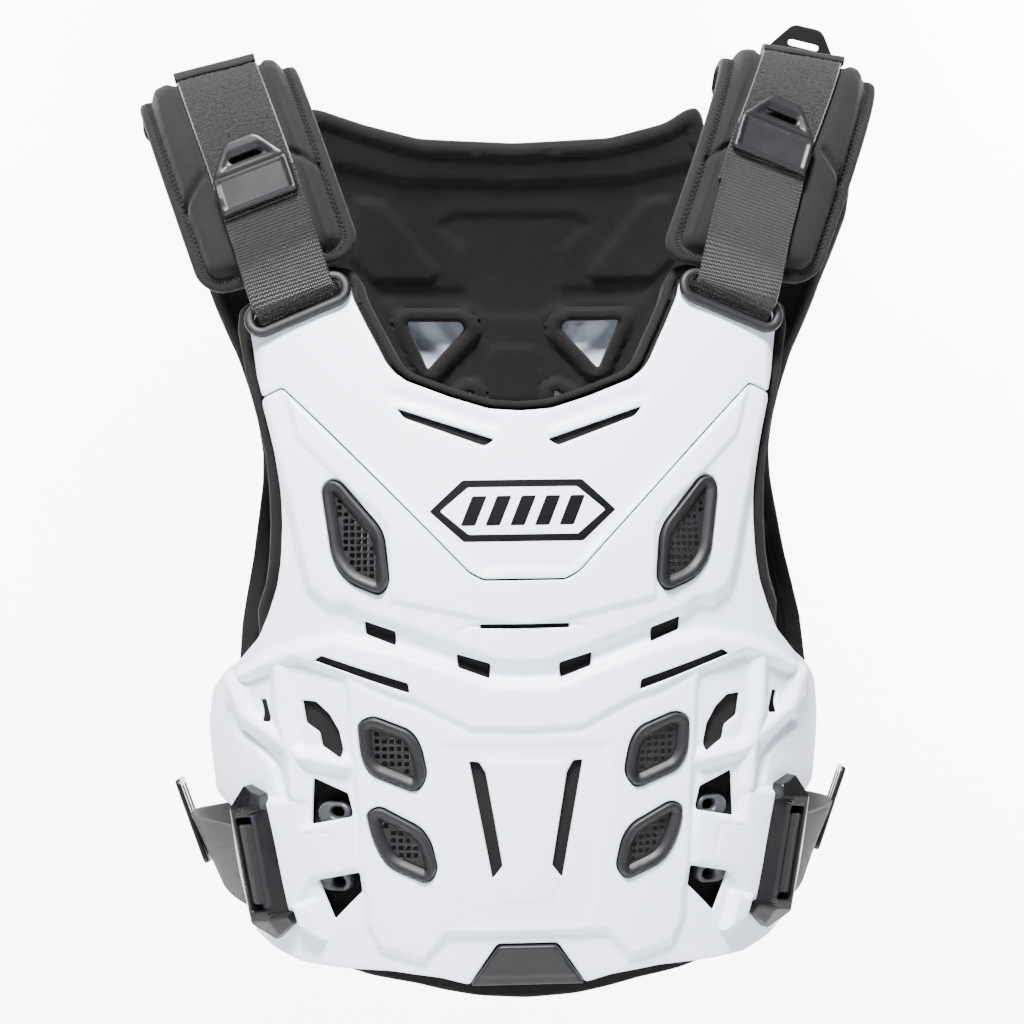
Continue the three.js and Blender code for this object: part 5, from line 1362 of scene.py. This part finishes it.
def make_hook_strip(name):
    """Loop pile over the pad, its face roughened point by point, with a thicker folded end at the ridge."""
    rows, columns = 300, 72
    first = turn_at(name, ARCH[name]["front_tab"] - 12)
    turns, _ = even_turns(name, first, PAD_REAR_TURN - 0.08, rows)
    u = np.linspace(-25, 25, columns)
    rough = np.random.default_rng(7 if name == "left" else 11).normal(0, 0.32, (rows, columns))
    edge = np.clip((25 - np.abs(u)) / 1.5, 0, 1)
    shift = strap_shift(name, turns)[:, None]
    top = arch_point(name, turns[:, None], u[None] + shift, STRIP_LOW + 1.5 + (0.9 + rough) * edge[None])
    under = arch_point(name, turns[:, None], np.linspace(25, -25, 10)[None] + shift, STRIP_LOW)
    strip = outward(ring_solid(f"pile_strip_{name}", np.concatenate([top, under], axis=1), sharp=80.0))
    dress(strip, LOOP_PILE, f"hook_strip_{name}")
    for sign in (-1, 1):
        ragged = np.sin(np.arange(rows) * 2.1) * 0.22 + np.sin(np.arange(rows) * 0.83) * 0.15
        line = arch_point(name, turns, sign * (24.6 + ragged) + shift[:, 0], STRIP_LOW + 2.0)
        up = unit(arch_point(name, turns, 0.0, 1.0) - arch_point(name, turns, 0.0, 0.0))
        shown = turns > turn_at(name, ARCH[name]["front_tab"] + 4)
        thread = thread_tube(f"edge_thread_{name}_{'in' if sign < 0 else 'out'}", line[shown], 0.38,
                             up[shown])
        dress(thread, PALE_THREAD)
    make_fold(name)


for side_name in SIDES:
    make_hook_strip(side_name)
    make_front_strap(side_name)
print("front straps ready")

# %% [markdown]
# Each strap ends in a moulded pull tab: a narrow top with a slot to grip, and below it a flat field inside a
# thin raised border. The field is left bare. The guides are plain rings with a round edge.

# %% Tabs and guides
TAB = [(-23.5, 0), (23.5, 0), (23.5, 22.5), (22.2, 25.5), (11.5, 40.5), (8.2, 43), (-8.2, 43), (-11.5, 40.5),
       (-22.2, 25.5), (-23.5, 22.5)]


def tab_top(flat, away):
    """Border, field and grip of a tab: the border stands highest, the grip dips towards its slot."""
    field = np.array([(-21.0, 2.4), (21.0, 2.4), (21.0, 21.0), (-21.0, 21.0)])
    inside = inside_of(field, flat)
    gap = edge_distance(field, flat)
    height = np.where(flat[:, 1] < 23.6, 4.6, 4.2)
    height = np.where(inside, 4.6 - 1.0 * np.clip(gap / 0.7, 0, 1), height)
    grip = np.array([(-17.0, 26.6), (17.0, 26.6), (10.2, 36.6), (-10.2, 36.6)])
    height = np.where(inside_of(grip, flat), 4.2 - 1.3 * np.clip(edge_distance(grip, flat) / 1.6, 0, 1),
                      height)
    groove = np.exp(-((flat[:, 1] - 23.9) / 0.7) ** 2)
    return height - 0.8 * groove - rounding(away, 1.3)


def make_tab(name, node, plane):
    """A pull tab on its plane, with a slot through its grip."""
    slot = bar_outline(20.0, 3.8, 1.8) + (0, 31.4)
    tab = plate(name, plane, softened(TAB, 2.2, 4), [slot], tab_top, lambda f, a: rounding(a, 0.6), 1.3,
                (0.35, 0.9))
    dress(tab, BLACK_SATIN, node)


def arch_plane(name, turn, out):
    """The plane on the arch whose second axis runs up the strap."""
    shift = float(strap_shift(name, turn))
    at = arch_point(name, turn, shift, out)
    up = unit(arch_point(name, turn + 0.02, shift, out) - at)
    outward_axis = unit(arch_point(name, turn, shift, out + 1) - at)
    across = unit(np.cross(up, outward_axis))
    return at, np.stack([across, up, np.cross(across, up)])


def make_guide(name, node, plane):
    """A flat ring with rounded inner and outer edges."""
    ring = plate(
        name, plane, bar_outline(67, 22.5, 11.2, 10), [bar_outline(55, 10.5, 4.5, 6)],
        lambda f, a: 4.4 - rounding(a, 2.3), lambda f, a: 0.35 + rounding(a, 0.8), 1.2, (0.3, 0.8, 1.5))
    dress(ring, CHARCOAL_RUBBER, node)


for side_name, side in SIDES.items():
    turn = turn_at(side_name, ARCH[side_name]["front_tab"])
    make_tab(f"moulded_front_tab_{side_name}", f"front_tab_{side_name}",
             arch_plane(side_name, turn, TAB_LOW + 0.4))
    make_guide(f"moulded_guide_{side_name}", f"strap_guide_{side_name}", chest_guide_plane(side)[0])
print("front tabs and guides ready")

# %% [markdown]
# At the back the same fastening runs from a guide on the back shell up over the end of the pad.

# %% The rear straps
def make_rear(name):
    """Guide, webbing and tab behind one shoulder."""
    side = SIDES[name]
    plane = plane_at(BACK, side * REAR_GUIDE[0], REAR_GUIDE[1], 0.0, side * REAR_TURN)
    origin, axes = plane
    make_guide(f"moulded_rear_guide_{name}", f"rear_guide_{name}", plane)
    at = lambda up, out: origin + axes[1] * up + axes[2] * out
    end = arch_point(name, PAD_REAR_TURN, 0.0, WEB_LOW + 3)
    start = at(12.5, 5.55)
    direction = unit(end - start)
    reach = (ARCH[name]["rear_tab"] + 18 - start[2]) / direction[2]
    points = np.array([at(3, -5.6), at(0, -0.5), at(1.5, 4.35), at(5, 5.55), start,
                       start + direction * reach * 0.5,
                       start + direction * reach])
    strap = swept_strap(f"woven_rear_strap_{name}", points, np.repeat(axes[:1], 7, axis=0), 50.0, 2.2,
                        out_hint=np.array([0, 1.0, 0.2]))
    dress(strap, WEBBING, f"rear_strap_{name}")
    wide = unit(axes[0] - np.dot(axes[0], direction) * direction)
    normal = unit(np.cross(wide, direction))
    normal = normal if normal[1] > 0 else -normal
    across = unit(np.cross(direction, normal))
    seat = points[-1] - direction * 18 + normal * 2.6
    make_tab(f"moulded_rear_tab_{name}", f"rear_tab_{name}", (seat, np.stack([across, direction, normal])))


for side_name in SIDES:
    make_rear(side_name)
print("rear straps ready")

# %% [markdown]
# The side buckles are faceted: a long body, a cap that slopes away at the top and a wedge at the bottom, with
# a roll of elastic round the bar in its middle. Their tops are planes cut against each other, so the facets
# stay flat and their edges crisp.

# %% Side buckles and elastic
BUCKLE_LEVEL = -466.0
BUCKLE_X = 0.79 * HALF_WIDTH


def buckle_plane(panel, side):
    """The plane of a buckle, lying on the panel's side."""
    return plane_at(panel, side * BUCKLE_X, BUCKLE_LEVEL, 0.0, side * panel["facing"] * 0.12)


def make_buckle(name, node, panel, side):
    """A tall faceted body: a flat inner plate, an outer flange, an end cap at the top and a wedge at the
    bottom."""
    origin, axes = buckle_plane(panel, side)
    outer = side * -panel["facing"]
    plane = (origin, axes)
    body = np.array([(-12, -38), (3.5, -47), (14, -36), (18.5, -3), (18.5, 4), (14.5, 34), (5, 46.5),
                     (-7, 40)], float)
    channel = np.array([(-1.5, -28), (11, -28), (11, 28.5), (-1.5, 28.5)], float)

    def facets(flat, away):
        x, y = flat[:, 0] * outer, flat[:, 1]
        inner = np.maximum(-1.5 - x, 0)
        cap = 14.2 - 0.5 * np.maximum(y - 33, 0) - 0.5 * inner
        wedge = 13.2 - 0.62 * np.maximum(-34 - y, 0) - 0.55 * inner
        plate_level = np.where(x < -1.5, 9.8 - 0.78 * inner, 13.4)
        middle = np.where(np.abs(y) < 31.5, plate_level, 14.4)
        flange = 13.6 - 0.55 * np.maximum(x - 12.5, 0)
        return np.min([cap, wedge, middle, flange], axis=0) - rounding(away, 0.6)

    body_loop, channel_loop = softened(body * (outer, 1), 1.0, 3), softened(channel * (outer, 1), 1.2, 3)
    shell = plate(name, plane, body_loop, [channel_loop], facets, lambda f, a: 0.35 + rounding(a, 0.4), 1.0,
                  (0.3, 0.7), sharp=22.0)
    floor_loop = np.array([(-2.2, -28.6), (11.6, -28.6), (11.6, 29.1), (-2.2, 29.1)]) * (outer, 1)
    floor = plate("bed", plane, floor_loop, [], lambda f, a: 2.6 + 0 * a, lambda f, a: 0.4 + 0 * a, 3.0, ())
    dress(joined(name, [shell, floor], 22.0), BUCKLE_BLACK, node)
    return origin, axes, outer


def make_slide(name, centre, up, normal):
    """The slide that takes up the elastic: a flat frame with two slots and a bar between them."""
    across = unit(np.cross(up, normal))
    plane = (centre + normal * 2.75 + up * 18.0, np.stack([across, up, normal]))
    openings = [bar_outline(5, 46, 1.5, 3) + (end * 5.5, 0) for end in (-1, 1)]
    slide = plate(f"moulded_slide_{name}", plane, bar_outline(24, 55, 4, 6), openings,
                  lambda f, a: 3.2 - rounding(a, 1.1), lambda f, a: 0 + rounding(a, 0.5), 1.2, (0.3, 0.8))
    dress(slide, BUCKLE_BLACK, f"side_slide_{name}")


def make_side(name):
    """Two buckles, the elastic between them with its rolls round the bars, and the slide outside it."""
    side = SIDES[name]
    front = make_buckle(f"moulded_side_buckle_{name}", f"side_buckle_{name}", FRONT, side)
    rear = make_buckle(f"moulded_rear_buckle_{name}", f"rear_buckle_{name}", BACK, side)
    at = lambda b, x, out: b[0] + b[1][0] * b[2] * x + b[1][2] * out
    crown = np.array([side * (HALF_WIDTH + 1.0), 0.0, BUCKLE_LEVEL])
    a, b = at(front, -0.5, 6.0), at(front, 19.8, 6.5)
    c, d = at(rear, 19.8, 6.5), at(rear, -0.5, 6.0)
    lean = np.array([side * 4.0, 0, 0])
    points = np.array([a, at(front, 4.5, 10.6), at(front, 10, 8.6), b, b + (crown - b) * 0.55 + lean, crown,
                       c + (crown - c) * 0.55 + lean, c, at(rear, 10, 8.6), at(rear, 4.5, 10.6), d])
    share = np.array([0, 0, 0, 0, 0.25, 0.5, 0.75, 1, 1, 1, 1])[:, None]
    ups = front[1][1] * (1 - share) + rear[1][1] * share
    ups[:, 0] += side * 0.3 * np.sin(math.pi * share[:, 0])
    ups = unit(ups)
    strap = swept_strap(f"elastic_side_strap_{name}", points, ups, 48.0, 2.4,
                        out_hint=np.array([side, 0.0, 0.0]))
    dress(strap, ELASTIC, f"side_strap_{name}")
    along = unit(points[6] - points[4])
    up = ups[5] - np.array([side * 0.1, 0.0, 0.0])
    up = unit(up - np.dot(up, along) * along)
    normal = unit(np.cross(up, along))
    make_slide(name, crown, up, normal * np.sign(normal[0] * side))


for side_name in SIDES:
    make_side(side_name)
print("sides ready")

# %% [markdown]
# Last come the hooks behind the side windows and the bare badge on the hem.

# %% Hooks and badge
def make_hook(name, side_name, z, flip):
    """A rounded loop with a hole, lying just under the shell's face."""
    side = SIDES[side_name]
    plane = plane_at(FRONT, side * 0.6 * HALF_WIDTH, z)
    hole = bar_outline(8, 6, 2.9, 6) + (-side * 2, flip * 1)
    hook = plate(f"moulded_hook_{name}_{side_name}", plane, bar_outline(21, 13.5, 6.6, 10), [hole],
                 lambda f, a: -3.2 - rounding(a, 2.4), lambda f, a: -11.4 + rounding(a, 2.0), 0.9,
                 (0.4, 1.0, 1.8))
    dress(hook, HOOK_GREY, f"latch_hook_{name}_{side_name}")


def badge_top(flat, away):
    """A low dome with a rounded edge and a shallow step above its lower band."""
    step = 0.5 * np.clip((flat[:, 1] + 8.0) / 1.2, 0, 1)
    return 1.6 + step - rounding(away, 1.3)


for side_name in SIDES:
    make_hook("upper", side_name, front_z(0.762), 1)
    make_hook("lower", side_name, front_z(0.857), -1)
BADGE_Z = front_z(0.972)
badge = plate(
    "moulded_badge", plane_at(FRONT, 0.0, BADGE_Z), softened(badge_loop() - (0, BADGE_Z), 2.2, 4), [],
    badge_top,
    lambda f, a: -2.4 + 0 * a, 1.2, (0.4, 1.0))
dress(badge, BLACK_SATIN, "hem_badge")
print("hooks and badge ready")

# %% [markdown]
# A plain floor, a pale surround and soft lights. The key stands high in front, a little to the left, so that
# the relief of the white shell shows. A weak lamp low in front opens the undersides, and two more light the
# backdrop far behind.

# %% Floor and lights
FLOOR = -1.55
SURROUND_TINT = (0.74, 0.82, 1.0, 1)
SURROUND_STRENGTH = 0.2


def make_stage():
    """A wide pale floor that curves up far behind into a wall, in one sheet."""
    t = np.linspace(0, 1, 80)
    bend = np.clip((t - 0.5) / 0.2, 0, 1) * math.pi / 2
    run = np.where(t < 0.5, -4 + 7 * t / 0.5, 3 + 1.5 * np.sin(bend))
    rise = 1.5 * (1 - np.cos(bend)) + np.maximum(t - 0.7, 0) / 0.3 * 3.5
    x = np.linspace(-7, 7, 12)
    points = np.stack([
        np.repeat(x[None], 80, 0), np.repeat(run[:, None], 12, 1), FLOOR + np.repeat(rise[:, None], 12, 1)],
        -1)
    i, j = np.meshgrid(np.arange(79), np.arange(11), indexing="ij")
    quads = np.stack([i * 12 + j, i * 12 + j + 1, (i + 1) * 12 + j + 1, (i + 1) * 12 + j], -1).reshape(-1, 4)
    floor = mesh_from("floor", points.reshape(-1, 3) / MM, [quads])
    material, nodes, links, shader = new_material("pale floor")
    tone = noise(nodes, links, 1.2, 2.0)
    links.new(ramp(nodes, links, tone.outputs["Fac"], 0.3, 0.8, (0.93, 0.93, 0.93), (0.91, 0.91, 0.915)),
              shader.inputs["Base Color"])
    shader.inputs["Roughness"].default_value = 0.9
    floor.data.materials.append(material)


def soft_light(name, place, aim, size, power):
    """A white area light at a place, turned towards an aim."""
    data = bpy.data.lights.new(name, "AREA")
    data.shape = "RECTANGLE"
    data.size, data.size_y = size
    data.energy = power
    lamp = bpy.data.objects.new(name, data)
    lamp.location = place
    lamp.rotation_euler = (Vector(aim) - Vector(place)).to_track_quat("-Z", "Y").to_euler()
    bpy.context.scene.collection.objects.link(lamp)


make_stage()
soft_light("key", (-0.5, -2.2, 2.8), (0, 0, -0.27), (0.9, 0.9), 900)
soft_light("low_front", (-0.9, -2.6, 0.3), (0, 0, -0.25), (0.6, 0.6), 12)
soft_light("backdrop_left", (-2.8, 2.4, 1.6), (-1.6, 6.0, 0.6), (1.6, 1.6), 1000)
soft_light("backdrop_right", (2.8, 2.4, 1.6), (1.6, 6.0, 0.6), (1.6, 1.6), 1000)
world = bpy.data.worlds.new("surround")
world.use_nodes = True
world.node_tree.nodes["Background"].inputs[0].default_value = SURROUND_TINT
world.node_tree.nodes["Background"].inputs[1].default_value = SURROUND_STRENGTH
bpy.context.scene.world = world
print("stage set")
